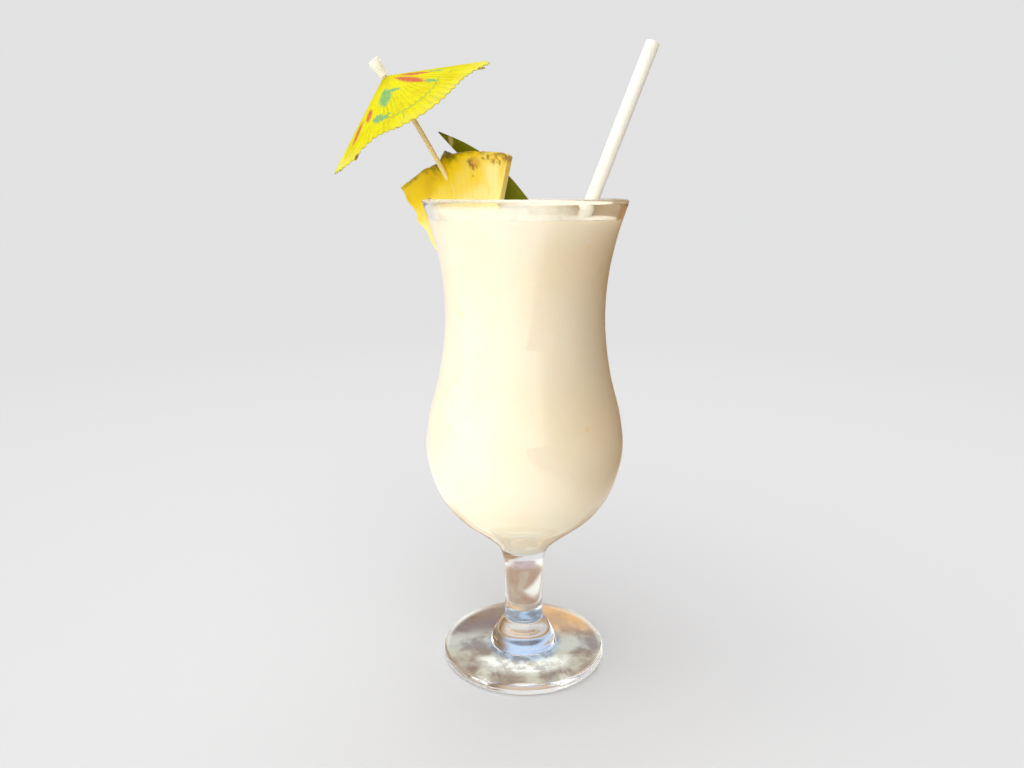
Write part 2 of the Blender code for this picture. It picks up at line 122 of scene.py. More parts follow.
def wear(item, material):
    """Gives an item one material and no other."""
    item.data.materials.clear()
    item.data.materials.append(material)
    print(item.name, len(item.data.polygons), "faces in", material.name)


def dress(item, material, slot, *nodes):
    """Gives an item its material and lets it stand for CAD nodes; its slot is not used."""
    wear(item, material)
    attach(item, "root")
    if nodes:
        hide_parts(*nodes)
    return item


def show(name, mesh, material, slot, *nodes):
    """Dressed object from a mesh."""
    return dress(linked(name, mesh), material, slot, *nodes)


def angles_round(count):
    return [2 * pi * i / count for i in range(count)]


def ring(radius, height, count):
    """Level circle of points round the Z axis."""
    return [Vector((radius * cos(a), radius * sin(a), height)) for a in angles_round(count)]


def ease(x):
    """Smooth step from 0 to 1."""
    x = min(max(x, 0.0), 1.0)
    return x * x * (3 - 2 * x)


def lumps(place, size):
    """Smooth noise from -1 to 1 with lumps of a size in millimetres."""
    return noise.noise(place / (size * MM))


# %% [markdown]
# Materials are built from small node steps. These helpers add one node each and hand back its output,
# so that a finish reads from top to bottom like a recipe. Each finds the node tree that it works in from
# the sockets that it is given.

# %% Helpers for values and colours


def feed(socket, value):
    """Gives a socket a plain value, or wires another node's output to it."""
    if isinstance(value, bpy.types.NodeSocket):
        socket.id_data.links.new(value, socket)
    elif socket.type == "RGBA":
        socket.default_value = (*value, 1.0)[:4]
    else:
        socket.default_value = value


def tree_of(*values):
    """The node tree of the first socket among some values."""
    return next(v.id_data for v in values if isinstance(v, bpy.types.NodeSocket))


def fed_node(kind, *values, **settings):
    """New node with some settings, whose first inputs are fed in order."""
    node = tree_of(*values).nodes.new("ShaderNode" + kind)
    for key, setting in settings.items():
        setattr(node, key, setting)
    for socket, value in zip(node.inputs, values):
        feed(socket, value)
    return node


def maths(operation, *values):
    return fed_node("Math", *values, operation=operation).outputs[0]


def times(value, *others):
    """Product of some values."""
    for other in others:
        value = maths("MULTIPLY", value, other)
    return value


def length_of(x, y):
    """Distance from the origin of a flat place."""
    return maths("SQRT", maths("MULTIPLY_ADD", x, x, times(y, y)))


def vectors(operation, *values):
    return fed_node("VectorMath", *values, operation=operation).outputs[0]


def split(place):
    return fed_node("SeparateXYZ", place).outputs


def drawn_out(place, share):
    """A place in which a pattern comes out longer along Z."""
    return vectors("MULTIPLY", place, (1.0, 1.0, share))


def joined(x, y, z):
    return fed_node("CombineXYZ", x, y, z).outputs[0]


def ramp(value, low, high, start=0.0, end=1.0):
    """Smooth step from start to end while the value goes from low to high."""
    return fed_node("MapRange", value, low, high, start, end, interpolation_type="SMOOTHSTEP").outputs[0]


def fall(value, low, high):
    """Smooth step down from 1 to 0 while the value goes from low to high."""
    return ramp(value, low, high, 1.0, 0.0)


def turned_by(place, angle, axis="Z"):
    """A place turned about an axis through the origin."""
    node = fed_node("VectorRotate", place, rotation_type=axis + "_AXIS")
    feed(node.inputs["Angle"], angle)
    return node.outputs[0]


def mixed(amount, first, second):
    """Colour between two others."""
    node = fed_node("Mix", amount, data_type="RGBA")
    feed(node.inputs[6], first)
    feed(node.inputs[7], second)
    return node.outputs[2]


def layered(colour, *layers):
    """A ground colour with others laid over it, each with its share."""
    for share, over in layers:
        colour = mixed(share, colour, over)
    return colour


# %% [markdown]
# Every finish starts from a place on the piece, puts a pattern on it, and ends in a colour and a fine
# relief. Places come in metres, either in the drink's frame or, on a piece that was made upright and then
# set down, in the frame that it was made in.

# %% Helpers for patterns and materials


def clouds(place, scale, detail=3.0, roughness=0.5):
    """Soft noise from 0 to 1."""
    node = fed_node("TexNoise", place)
    feed(node.inputs["Scale"], scale)
    feed(node.inputs["Detail"], detail)
    feed(node.inputs["Roughness"], roughness)
    return node.outputs[0]


def cells(place, scale):
    """Small cells: how far a place is from its cell's middle, and a chance colour for each cell."""
    node = fed_node("TexVoronoi", place)
    feed(node.inputs["Scale"], scale)
    return node.outputs["Distance"], node.outputs["Color"]


def plain_place(tree):
    """Place on the piece, in the drink's frame."""
    return tree.nodes.new("ShaderNodeTexCoord").outputs["Object"]


def stored(tree, name, output):
    """A value or a place that is stored on the mesh's points."""
    node = tree.nodes.new("ShaderNodeAttribute")
    node.attribute_name = name
    return node.outputs[output]


def own_place(tree):
    """Place on a piece that was set down, in the frame that it was made in."""
    return stored(tree, "own", "Vector")


def start_material(name, **values):
    """New material: its node tree and its Principled BSDF with some plain values set."""
    material = bpy.data.materials.new(name)
    material.use_nodes = True
    shader = material.node_tree.nodes["Principled BSDF"]
    for key, value in values.items():
        feed(shader.inputs[key.replace("_", " ")], value)
    return material, material.node_tree, shader


def bumped(shader, height, distance, strength):
    """Relief from a height, as deep as a distance in metres."""
    node = shader.id_data.nodes.new("ShaderNodeBump")
    feed(node.inputs["Strength"], strength)
    feed(node.inputs["Distance"], distance)
    feed(node.inputs["Height"], height)
    feed(shader.inputs["Normal"], node.outputs[0])


def finished(shader, colour, height, distance, strength):
    """The colour and the fine relief that complete a finish."""
    feed(shader.inputs["Base Color"], colour)
    bumped(shader, height, distance, strength)


def new_group(name, inputs, output):
    """Shader group with named inputs and one named output; gives its tree and its inputs."""
    tree = bpy.data.node_groups.new(name, "ShaderNodeTree")
    for label, kind, value in inputs:
        socket = tree.interface.new_socket(label, in_out="INPUT", socket_type="NodeSocket" + kind)
        if value is not None:
            socket.default_value = value
    tree.interface.new_socket(output, in_out="OUTPUT", socket_type="NodeSocketFloat")
    return tree, tree.nodes.new("NodeGroupInput").outputs


def close_group(tree, value):
    feed(tree.nodes.new("NodeGroupOutput").inputs[0], value)


def use(group, **inputs):
    """Places a group in a material and gives its output."""
    node = tree_of(*inputs.values()).nodes.new("ShaderNodeGroup")
    node.node_tree = group
    for key, value in inputs.items():
        feed(node.inputs[key], value)
    return node.outputs[0]


# %% [markdown]
# Three effects come back in several finishes, so each is a node group made once. Fibres are long thin
# streaks, for wood, leaf, paper and fruit. Blotches are soft uneven patches. A stroke is one lens-shaped
# mark at a given place, turn, length and width, for bruises and for the printed petals.

# %% Shader groups
group_inputs = [("Vector", "Vector", None), ("Fineness", "Float", 100.0), ("Contrast", "Float", 1.0)]
fibres, given = new_group("Fibres", group_inputs, "Streaks")
coarse = clouds(given["Vector"], given["Fineness"], 2.0)
finer = times(given["Fineness"], 2.7)
fine = clouds(given["Vector"], finer, 4.0, 0.6)
both = maths("MULTIPLY_ADD", fine, 0.5, times(coarse, 0.5))
spread = times(maths("SUBTRACT", both, 0.5), given["Contrast"])
clamped = maths("MINIMUM", maths("MAXIMUM", maths("ADD", spread, 0.5), 0.0), 1.0)
close_group(fibres, clamped)

group_inputs = [("Vector", "Vector", None), ("Scale", "Float", 50.0), ("Low", "Float", 0.45),
                ("High", "Float", 0.6)]
blotches, given = new_group("Blotches", group_inputs, "Mask")
cloud = clouds(given["Vector"], given["Scale"], 4.0, 0.55)
close_group(blotches, ramp(cloud, given["Low"], given["High"]))

group_inputs = [("Vector", "Vector", None), ("Centre", "Vector", None), ("Turn", "Float", 0.0),
                ("Length", "Float", 1.0), ("Width", "Float", 1.0), ("Softness", "Float", 0.2)]
stroke, given = new_group("Stroke", group_inputs, "Mask")
offset = vectors("SUBTRACT", given["Vector"], given["Centre"])
lengthwise, crosswise, _ = split(turned_by(offset, times(given["Turn"], -1.0)))
share = maths("DIVIDE", lengthwise, given["Length"])
breadth = maths("DIVIDE", maths("ABSOLUTE", crosswise), given["Width"])
lens = maths("MULTIPLY_ADD", share, share, breadth)
inner = maths("SUBTRACT", 1.0, given["Softness"])
outer = maths("ADD", 1.0, given["Softness"])
close_group(stroke, fall(lens, inner, outer))
print("groups", [g.name for g in bpy.data.node_groups])

# %% [markdown]
# The glass is one turned piece: a thin round lip, a flared neck over a waist, a full belly, and a solid
# stem on a flat foot. A few knots of heights and radii drive it, in millimetres. The curve between the
# knots is smooth, so the reflections run without kinks. The wall is 2.1 mm at the lip and thicker below.

# %% Curves of the glass
GLASS_HEIGHT = 200.0 * MM
BOWL_KNOTS = [(44.0, 8.6), (52.0, 11.4), (60.0, 19.9), (68.0, 29.4), (77.0, 36.2), (87.0, 40.0),
              (98.0, 41.8), (110.0, 40.6), (130.0, 35.6), (153.0, 32.9), (170.0, 33.8),
              (186.0, 37.0), (200.0, 41.4)]
STEM_KNOTS = [(17.0, 8.6), (30.0, 8.3), (44.0, 8.6)]
FOOT_KNOTS = [(4.8, 25.0), (5.2, 16.2), (5.9, 14.5), (9.2, 13.4), (12.6, 11.4), (15.6, 9.6)]
FOOT_RADIUS = 36.1 * MM
FOOT_EDGE = 4.2 * MM
WALL_AT_RIM = 2.1 * MM
WALL_IN_BOWL = 2.5 * MM
LIP_HEIGHT = 2.0 * MM
BOWL_FLOOR = 50.5 * MM
FLOOR_HALF_WIDTH = 8.0 * MM
FLOOR_MEETS_WALL = 61.0 * MM
FLOOR_PULL = 7.0 * MM
STEM_BOTTOM, STEM_TOP = 17.0 * MM, 44.0 * MM
AROUND = 180
WAIST_HEIGHT = 153.0 * MM
ON_AXIS = 1e-6
FIT = 0.998


def smooth_radius(knots, height):
    """Radius at a height, in metres, on a smooth curve through knots in millimetres."""
    heights = [h for h, _ in knots]
    radii = [r for _, r in knots]
    spans = np.diff(heights)
    slopes = np.diff(radii) / spans
    tangents = [slopes[0]]
    for i in range(1, len(knots) - 1):
        mixed_slope = slopes[i - 1] * spans[i] + slopes[i] * spans[i - 1]
        tangents.append(mixed_slope / (spans[i - 1] + spans[i]))
    tangents.append(slopes[-1])
    level = height / MM
    i = min(max(int(np.searchsorted(heights, level)) - 1, 0), len(knots) - 2)
    t = (level - heights[i]) / spans[i]
    ends = radii[i] * (1 + 2 * t) * (1 - t) ** 2 + radii[i + 1] * t * t * (3 - 2 * t)
    bends = spans[i] * t * (1 - t) * (tangents[i] * (1 - t) - tangents[i + 1] * t)
    return (ends + bends) * FIT * MM


def wall_point(height, inwards):
    """Point (radius, 0, height) that lies square to the bowl's outside, some way inwards."""
    step = 0.2 * MM
    rise = smooth_radius(BOWL_KNOTS, height + step) - smooth_radius(BOWL_KNOTS, height - step)
    slope = rise / (2 * step)
    length = sqrt(1 + slope * slope)
    radius = smooth_radius(BOWL_KNOTS, height) - inwards / length
    return Vector((radius, 0, height + inwards * slope / length))


def wall_thickness(height):
    """Thickness of the bowl's wall, which thins out towards the rim."""
    return WALL_IN_BOWL + (WALL_AT_RIM - WALL_IN_BOWL) * (height / GLASS_HEIGHT) ** 3


def cubic(a, b, c, d, t):
    """Point at share t of a curve from a to d that is pulled towards b and c."""
    u = 1 - t
    return a * u ** 3 + b * (3 * u * u * t) + c * (3 * u * t * t) + d * t ** 3


def arc(centre, radius, start, end, count):
    """Points of an upright arc, from one angle in degrees to another."""
    angles = np.radians(np.linspace(start, end, count))
    return [centre + Vector((radius * cos(a), 0, radius * sin(a))) for a in angles]


print("waist", round(2 * smooth_radius(BOWL_KNOTS, WAIST_HEIGHT) / MM, 1), "mm across")

# %% [markdown]
# With those curves, the outline of the glass is one closed line: up the inside of the bowl, over the lip
# and down the outside to the underside of the foot. The drink uses its inner part too, a little further
# out, and the slit of the slice its upper part.

# %% Line of the glass


def inside_line(into_wall=0.0):
    """The bowl's inner wall from the axis to under the lip, or a line that far inside the glass."""
    heights = np.linspace(FLOOR_MEETS_WALL, GLASS_HEIGHT - LIP_HEIGHT, 90)
    wall = [wall_point(h, wall_thickness(h) - into_wall) for h in heights]
    down = (wall[0] - wall[1]).normalized() * FLOOR_PULL
    middle = Vector((0, 0, BOWL_FLOOR - into_wall))
    bend = middle + Vector((FLOOR_HALF_WIDTH, 0, 0))
    base = [cubic(middle, bend, wall[0] + down, wall[0], t) for t in np.linspace(0, 1, 24)]
    return base[:-1] + wall


def smooth_line(points, steps):
    """Smooth curve through points, with a number of steps between each two."""
    line = []
    for i in range(len(points) - 1):
        before, start = points[max(i - 1, 0)], points[i]
        end, after = points[i + 1], points[min(i + 2, len(points) - 1)]
        for k in range(steps):
            t = k / steps
            line.append(0.5 * (2 * start + (end - before) * t
                               + (2 * before - 5 * start + 4 * end - after) * t ** 2
                               + (3 * start - before - 3 * end + after) * t ** 3))
    return line + [points[-1]]


def lip_line(count, grow=0.0):
    """Round top of the wall, from the inside over to the outside."""
    radius = WALL_AT_RIM / 2
    outer = wall_point(GLASS_HEIGHT - radius, 0)
    return arc(Vector((outer.x - radius, 0, GLASS_HEIGHT - radius)), radius + grow, 172, 8, count)


def glass_profile():
    """Closed line from the bowl's floor up the inside, over the lip and down to the underside."""
    heights = np.linspace(GLASS_HEIGHT - LIP_HEIGHT, STEM_TOP, 110)
    outside = [wall_point(h, 0) for h in heights]
    heights = np.linspace(STEM_TOP, STEM_BOTTOM, 14)[1:]
    stem = [Vector((smooth_radius(STEM_KNOTS, h), 0, h)) for h in heights]
    half = FOOT_EDGE / 2
    knots = [Vector((r, 0, h)) * MM for h, r in reversed(FOOT_KNOTS)]
    plate = smooth_line([stem[-1]] + knots + [Vector((FOOT_RADIUS - half, 0, FOOT_EDGE))], 5)
    edge = arc(Vector((FOOT_RADIUS - half, 0, half)), half, 90, -90, 14)
    return inside_line() + lip_line(14) + outside + stem + plate[1:-1] + edge + [Vector((0, 0, 0))]


def turned(line):
    """Rings round the glass's axis from a line of (radius, 0, height) points."""
    return [ring(p.x, p.z, AROUND) if p.x > ON_AXIS else [Vector((0, 0, p.z))] for p in line]


# %% [markdown]
# Clear glass is a full Transmission Weight, an index of 1.5 and almost no roughness. Pressed glass is
# never perfectly even, and the faint waves in its surface are what breaks up the reflections in the stem
# and the foot, so a very shallow bump of slow noise is added.

# %% Glass
clear_glass, tree, shader = start_material(
    "clear glass", Base_Color=(0.985, 0.992, 0.988), Roughness=0.015, IOR=1.5, Transmission_Weight=1.0)
waves = clouds(plain_place(tree), 90.0, 1.0)
bumped(shader, waves, 0.12 * MM, 0.5)
show("clear_glass", skin("clear_glass", turned(glass_profile())), clear_glass, "glass", "glass")

# %% [markdown]
# The drink is opaque, so it is a solid up to its level. It reaches a third of a millimetre into the wall
# of the glass: two surfaces that only touch would leave a film of air between them, which shows as a
# silver skin. The top is not flat: it climbs the wall a little and carries small ripples and froth.

# %% Body of the drink
DRINK_LEVEL = 192.1 * MM
INTO_WALL = 0.3 * MM
CLIMB = 0.5 * MM
CLIMB_WIDTH = 2.2 * MM
RIPPLE = 0.22 * MM


def drink_height(x, y, edge):
    """Height of the drink's top at a place, given the radius of its edge."""
    climb = CLIMB * exp(-(edge - hypot(x, y)) / CLIMB_WIDTH)
    place = Vector((x, y, 0))
    return DRINK_LEVEL + climb + RIPPLE * (lumps(place, 4) + 0.5 * lumps(place, 1.3))


def drink_rows():
    """Rings from the foot of the drink up the wall, then inwards over its top."""
    side = [p for p in inside_line(INTO_WALL) if p.z < DRINK_LEVEL - 0.5 * MM]
    edge = wall_point(DRINK_LEVEL, wall_thickness(DRINK_LEVEL) - INTO_WALL).x
    rows = turned(side)
    for radius in np.linspace(edge, 0, 60)[:-1]:
        level = ring(radius, 0, AROUND)
        rows.append([Vector((p.x, p.y, drink_height(p.x, p.y, edge))) for p in level])
    return rows + [[Vector((0, 0, drink_height(0, 0, edge)))]]


# %% [markdown]
# Blended coconut and pineapple is a thick cream: light goes a few millimetres in and comes out again.
# Subsurface light gives that softness. The colour is a pale cream with slow warm and cool clouds, and
# a few yellow specks of pulp. Its own shine is low, because it is wet glass that shines here.

# %% Drink
CREAM = (0.855, 0.81, 0.71)
CREAM_WARM = (0.845, 0.785, 0.655)
PULP = (0.85, 0.68, 0.35)
cream, tree, shader = start_material(
    "cream drink", Roughness=0.5, IOR=1.33, Specular_IOR_Level=0.25, Subsurface_Weight=0.35,
    Subsurface_Scale=2.0 * MM)
shader.inputs["Subsurface Radius"].default_value = (1.0, 0.75, 0.4)
place = plain_place(tree)
base = mixed(use(blotches, Vector=place, Scale=28.0, Low=0.4, High=0.65), CREAM, CREAM_WARM)
off_middle, chance = cells(place, 130.0)
rare = ramp(split(chance)[0], 0.955, 0.96)
near = fall(off_middle, 0.08, 0.2)
speck = times(rare, near, 0.55)
bubbles = ramp(cells(place, 900.0)[0], 0.0, 0.5)
finished(shader, mixed(speck, base, PULP), bubbles, 0.06 * MM, 0.6)
drink_mesh = skin("drink_body", drink_rows())
drink_mesh.set_sharp_from_angle(angle=radians(50))
show("drink_body", drink_mesh, cream, "drink", "drink")

# %% [markdown]
# A thick drink leaves a film on the glass above its level. It is a very thin ring just inside the wall,
# and noise in its Alpha makes it dense near the drink, thin and patchy higher up, and thinner at the
# right, where some of it has run off. The film softens the line where the drink ends.

# %% Film on the glass
FILM_FOOT = 191.8 * MM
FILM_TOP = 198.6 * MM
FILM_EDGE = 197.4 * MM
FILM_OFF_WALL = 0.08 * MM
FILM_DENSE, FILM_THIN = 192.3 * MM, 193.6 * MM
FILM_CREAM, FILM_BROWN = (0.76, 0.72, 0.61), (0.42, 0.32, 0.23)


def film_rows():
    heights = np.linspace(FILM_FOOT, FILM_TOP, 12)
    return turned(wall_point(h, wall_thickness(h) + FILM_OFF_WALL) for h in heights)


film, tree, shader = start_material("cream film", Roughness=0.5, Specular_IOR_Level=0.2)
place = plain_place(tree)
x, y, z = split(place)
patchy = use(blotches, Vector=drawn_out(place, 0.5), Scale=160.0, Low=0.35, High=0.6)
runs = use(fibres, Vector=drawn_out(place, 0.15), Fineness=500.0, Contrast=2.5)
thin_right = ramp(x, 12 * MM, 24 * MM, 1.0, 0.35)
density = times(maths("MULTIPLY_ADD", patchy, 0.2, 0.62), thin_right)
density = maths("MAXIMUM", density, fall(z, FILM_DENSE, FILM_THIN))
above_edge = maths("SUBTRACT", z, maths("MULTIPLY_ADD", runs, 0.8 * MM, FILM_EDGE))
alpha = times(density, fall(above_edge, -1.6 * MM, 1.0 * MM))
# towards the right the film turns to brown streaks
browner_right = times(ramp(x, 12 * MM, 26 * MM), runs)
feed(shader.inputs["Base Color"], mixed(browner_right, FILM_CREAM, FILM_BROWN))
feed(shader.inputs["Alpha"], alpha)
show("cream_film", skin("cream_film", film_rows()), film, "drink")

# %% [markdown]
# A paper straw is a tube wound from strips, so it has a wall that shows at its open end, a faint spiral
# seam and a soft fibrous face. Its rings run up the outside and down the bore. The tube is made upright
# and then set down along its axis. Each point keeps its upright place, so the seam is a simple formula.

# %% Straw
STRAW_RADIUS = 3.0 * MM
STRAW_WALL = 0.5 * MM
STRAW_AT_RIM = Vector((28.0, 21.2, 198.0)) * MM
STRAW_LEAN = radians(24.2)
STRAW_HEADING = radians(28.0)
STRAW_TOP = 263.5 * MM
STRAW_FOOT = 72.0 * MM
STRAW_AROUND = 48
STRAW_ROUNDING = 0.12 * MM
SEAM_PITCH = 26.0 * MM
STRAW_SHADE, STRAW_WHITE, SEAM_SHADE = (0.79, 0.76, 0.665), (0.85, 0.84, 0.77), (0.62, 0.57, 0.46)


def along(lean, heading):
    """Direction that leans from the vertical towards a heading."""
    return Vector((sin(lean) * cos(heading), sin(lean) * sin(heading), cos(lean)))


def standing(direction, place):
    """Matrix that turns Z to a direction, with X as near the world's as it goes."""
    side = (Vector((1, 0, 0)) - direction * direction.x).normalized()
    turn = Matrix((side, direction.cross(side), direction)).transposed()
    return Matrix.Translation(place) @ turn.to_4x4()


def straw_rows(length):
    """Rings up the outside, over the rounded cut end, down the bore and back."""
    outer, bore, soft = STRAW_RADIUS, STRAW_RADIUS - STRAW_WALL, STRAW_ROUNDING
    line = [(outer, h) for h in np.linspace(soft, length - soft, 60)]
    line += [(outer - soft, length), (bore + soft, length), (bore, length - soft)]
    line += [(bore, h) for h in np.linspace(length - 2 * soft, soft, 20)]
    line += [(bore + soft, 0), (outer - soft, 0)]
    return [ring(r, h, STRAW_AROUND) for r, h in line]


paper, tree, shader = start_material("straw paper", Roughness=0.62, Subsurface_Weight=0.15,
                                     Subsurface_Scale=0.8 * MM)
place = own_place(tree)
x, y, z = split(place)
angle = maths("DIVIDE", maths("ARCTAN2", y, x), 2 * pi)
wound = maths("FRACT", maths("ADD", maths("DIVIDE", z, SEAM_PITCH), angle))
seam = fall(maths("ABSOLUTE", maths("SUBTRACT", wound, 0.5)), 0.0, 0.02)
threads = use(fibres, Vector=drawn_out(place, 0.35), Fineness=900.0, Contrast=1.4)
colour = layered(mixed(threads, STRAW_SHADE, STRAW_WHITE), (times(seam, 0.18), SEAM_SHADE))
finished(shader, colour, maths("SUBTRACT", threads, seam), 0.05 * MM, 0.4)
direction = along(STRAW_LEAN, STRAW_HEADING)
foot = STRAW_AT_RIM - direction * ((STRAW_AT_RIM.z - STRAW_FOOT) / direction.z)
straw_mesh = skin("paper_straw", straw_rows((STRAW_TOP - STRAW_FOOT) / direction.z), loop=True)
straw_mesh.set_sharp_from_angle(angle=radians(35))
set_down(straw_mesh, standing(direction, foot))
show("paper_straw", straw_mesh, paper, "straw_paper", "straw")

# %% [markdown]
# The slice is a sector of a pineapple ring that stands on its point, slit to sit over the rim. Its right
# part is the flat cut face; its left part falls back where the peel was sliced off, with a scrap of green
# skin left at the step between them. A formula turns three shares, each from 0 to 1, into a point of
# that shape: across from left to right, through from front to back, and outwards from core to peel.

# %% Outline of the slice
SLICE_POINT = Vector((-20.1, -0.21, 149.3)) * MM
SLICE_TURN = radians(-6.0)
SLICE_THICKNESS = 16.0 * MM
SLICE_LEFT = radians(-31.4)
SLICE_RIGHT = radians(11.4)
SLICE_CORE = 15.0 * MM
SLICE_RADIUS = 68.8 * MM
PEELED_RADIUS = 66.2 * MM
PEELED_CORNER = 64.3 * MM
PEEL_STEP = radians(-13.0)
PEEL_STEP_WIDTH = radians(2.0)
SKIN_BUMP = 1.7 * MM
SKIN_BUMP_AT = radians(-10.8)
SKIN_BUMP_WIDTH = radians(1.4)
FURROW = 0.35 * MM
TORN_WAVE = 0.75 * MM
TORN_PITCH = 8.8 * MM
TORN_AT = 190.6 * MM
TORN_FROM = 0.45
POINT_SHIFT = 1.9 * MM
RIDGE_SIDE = -10.3 * MM
RIDGE_TOP = 210.0 * MM
RIDGE_LEAN = 1.8e6
RIDGE_SOFTNESS = 1.6 * MM
PEELED_SLOPE = tan(radians(33.0))


def slice_radius(angle):
    """Distance of the peel from the core's middle: a step, with a bump of skin left on it."""
    corner = ease((angle - SLICE_LEFT) / (PEEL_STEP - SLICE_LEFT))
    peeled = PEELED_CORNER + (PEELED_RADIUS - PEELED_CORNER) * corner
    step = ease((angle - PEEL_STEP) / PEEL_STEP_WIDTH)
    bump = SKIN_BUMP * exp(-((angle - SKIN_BUMP_AT) / SKIN_BUMP_WIDTH) ** 2)
    return peeled + (SLICE_RADIUS - peeled) * step + bump


def beyond_ridge(side, height):
    """How far a place lies to the left of the ridge between the flat face and the peeled one."""
    return RIDGE_SIDE + RIDGE_LEAN * max(height + SLICE_POINT.z - RIDGE_TOP, 0.0) ** 4 - side


def torn_edge(height, outwards):
    """How far the torn lower left edge stands out at a height."""
    wave = cos(2 * pi * (height + SLICE_POINT.z - TORN_AT) / TORN_PITCH)
    fade = ease((outwards - TORN_FROM) / 0.15) * (1 - outwards ** 8)
    return TORN_WAVE * wave * fade - POINT_SHIFT * (1 - outwards)


def slice_place(across, through, outwards):
    """Point in the slice's own frame: sideways, backwards and up from its point."""
    angle = SLICE_LEFT + (SLICE_RIGHT - SLICE_LEFT) * across
    furrow = FURROW * sin(9 * pi * across + 5 * pi * through) * outwards ** 6
    radius = SLICE_CORE + (slice_radius(angle) + furrow - SLICE_CORE) * outwards
    height = radius * cos(angle)
    side = radius * sin(angle) - torn_edge(height, outwards) * (1 - ease(across / 0.3))
    past = beyond_ridge(side, height)
    front = PEELED_SLOPE * (past + hypot(past, RIDGE_SOFTNESS)) / 2
    return Vector((side, front + (SLICE_THICKNESS - front) * through, height))


# %% [markdown]
# The mesh starts as a cube whose faces are cut finely, and each of its points is moved to its place in
# the slice. Then real relief pushes the points in and out along their normals: fibres, lumps and a
# dimple for the eye. In geometry the relief also shows at the outline, which a bump map can't do.

# %% Shape of the slice
SLICE_CUTS = 84
EYE_SPOT = Vector((-0.3, 0.0, 64.6)) * MM
EYE_RADIUS = 2.1 * MM
FIBRE_RELIEF, LUMP_RELIEF, ROUGH_RELIEF = 0.16 * MM, 0.16 * MM, 0.05 * MM
RELIEF_SINK, EYE_DEPTH = 0.2 * MM, 0.9 * MM


def slice_relief(place):
    """How far the fruit's surface stands out at a place: fibres, lumps and the eye's dimple."""
    radius = hypot(place.x, place.z)
    angle = atan2(place.x, place.z)
    fibre = noise.noise(Vector((angle * 75, place.y / (1.1 * MM), radius / (9 * MM))))
    uneven = FIBRE_RELIEF * fibre + LUMP_RELIEF * lumps(place, 3.2) + ROUGH_RELIEF * lumps(place, 0.8)
    return uneven - RELIEF_SINK - EYE_DEPTH * exp(-((place - EYE_SPOT).length / EYE_RADIUS) ** 2)


def make_slice_mesh():
    bm = bmesh.new()
    bmesh.ops.create_cube(bm, size=1.0)
    bmesh.ops.subdivide_edges(bm, edges=bm.edges[:], cuts=SLICE_CUTS, use_grid_fill=True)
    for corner in bm.verts:
        corner.co = slice_place(*(c + 0.5 for c in corner.co))
    bm.normal_update()
    moves = [corner.normal * slice_relief(corner.co) for corner in bm.verts]
    for corner, move in zip(bm.verts, moves):
        corner.co += move
    return mesh_of(bm, "fruit_slice")


SLICE_PLACE = Matrix.Translation(SLICE_POINT) @ Matrix.Rotation(SLICE_TURN, 4, "Z")
fruit_mesh = make_slice_mesh()
fruit_mesh.transform(SLICE_PLACE)
fruit = linked("fruit_slice", fruit_mesh)
print("slice", len(fruit.data.polygons), "faces before the slit")

# %% [markdown]
# The slit is cut with a copy of the glass's wall, a little thicker all round. A Boolean modifier takes
# it out, and the result becomes the mesh. The Manifold solver is the quick one for closed shapes.

# %% Slit for the rim
SLIT_FOOT = 150.0 * MM
GAP = 0.3 * MM


def wall_ring(name, grow):
    """The upper wall of the bowl, thicker by a gap on every side."""
    heights = np.linspace(SLIT_FOOT, GLASS_HEIGHT - LIP_HEIGHT, 30)
    inner = [wall_point(h, wall_thickness(h) + grow) for h in heights]
    outside = [wall_point(h, -grow) for h in reversed(heights)]
    return linked(name, skin(name, turned(inner + lip_line(8, grow) + outside), loop=True))


def cut_away(item, tool):
    """Takes the tool's shape out of the item for good."""
    cut = item.modifiers.new("cut", "BOOLEAN")
    cut.operation = "DIFFERENCE"
    cut.solver = "MANIFOLD"
    cut.object = tool
    graph = bpy.context.evaluated_depsgraph_get()
    result = bpy.data.meshes.new_from_object(item.evaluated_get(graph))
    item.modifiers.clear()
    item.data = result
    result.name = item.name
    bpy.data.objects.remove(tool, do_unlink=True)


cut_away(fruit, wall_ring("slit", GAP))
note_own(fruit.data, SLICE_PLACE)
print("slice", len(fruit.data.polygons), "faces after the slit")

# %% [markdown]
# What part of the fruit a point belongs to follows from where it is: how near the peel, how far onto the
# golden peeled side, how near the eye. These shares are stored on the points as masks, which the finish
# reads. Painting by formula keeps the colour exactly on the shape from every side.

# %% Areas of the slice
SKIN_FROM, SKIN_TO = radians(-17.0), radians(-5.5)
GOLD_FOOT = 50.4 * MM
GOLD_FOOT_AT = -19.7 * MM
GOLD_RISE = 0.67
GOLD_SIDE = -5.5 * MM
GOLD_TOP = 64.5 * MM


def golden(place):
    """Share of the golden outer flesh, which ends in a soft slanting line above the pale flesh."""
    waver = (2.0 * lumps(place, 5) + 0.9 * lumps(place, 1.4)) * MM
    limit = GOLD_SIDE + 2.2 * max(place.z - GOLD_TOP, 0.0)
    side = ease((limit + waver - place.x) / (5.0 * MM) + 0.5)
    level = GOLD_FOOT + GOLD_RISE * (place.x - GOLD_FOOT_AT) + waver
    return side * ease((place.z - level) / (6.0 * MM) + 0.4)


def rind(place):
    """Share of the outermost flesh, where brown eyes and scraps of skin stay."""
    edge = slice_radius(atan2(place.x, place.z))
    return ease(1.3 + (hypot(place.x, place.z) - edge) / (1.5 * MM))


def green_skin(place):
    """Share of the scrap of skin that is left at the step."""
    angle = atan2(place.x, place.z) + radians(4) * lumps(place, 2.5)
    inside = ease((angle - SKIN_FROM) / radians(2.5)) * ease((SKIN_TO - angle) / radians(3.5))
    edge = slice_radius(atan2(place.x, place.z))
    depth = (edge - hypot(place.x, place.z)) / (5.0 * MM) + 0.5 * lumps(place, 1.2)
    return inside * ease(1.1 - depth)


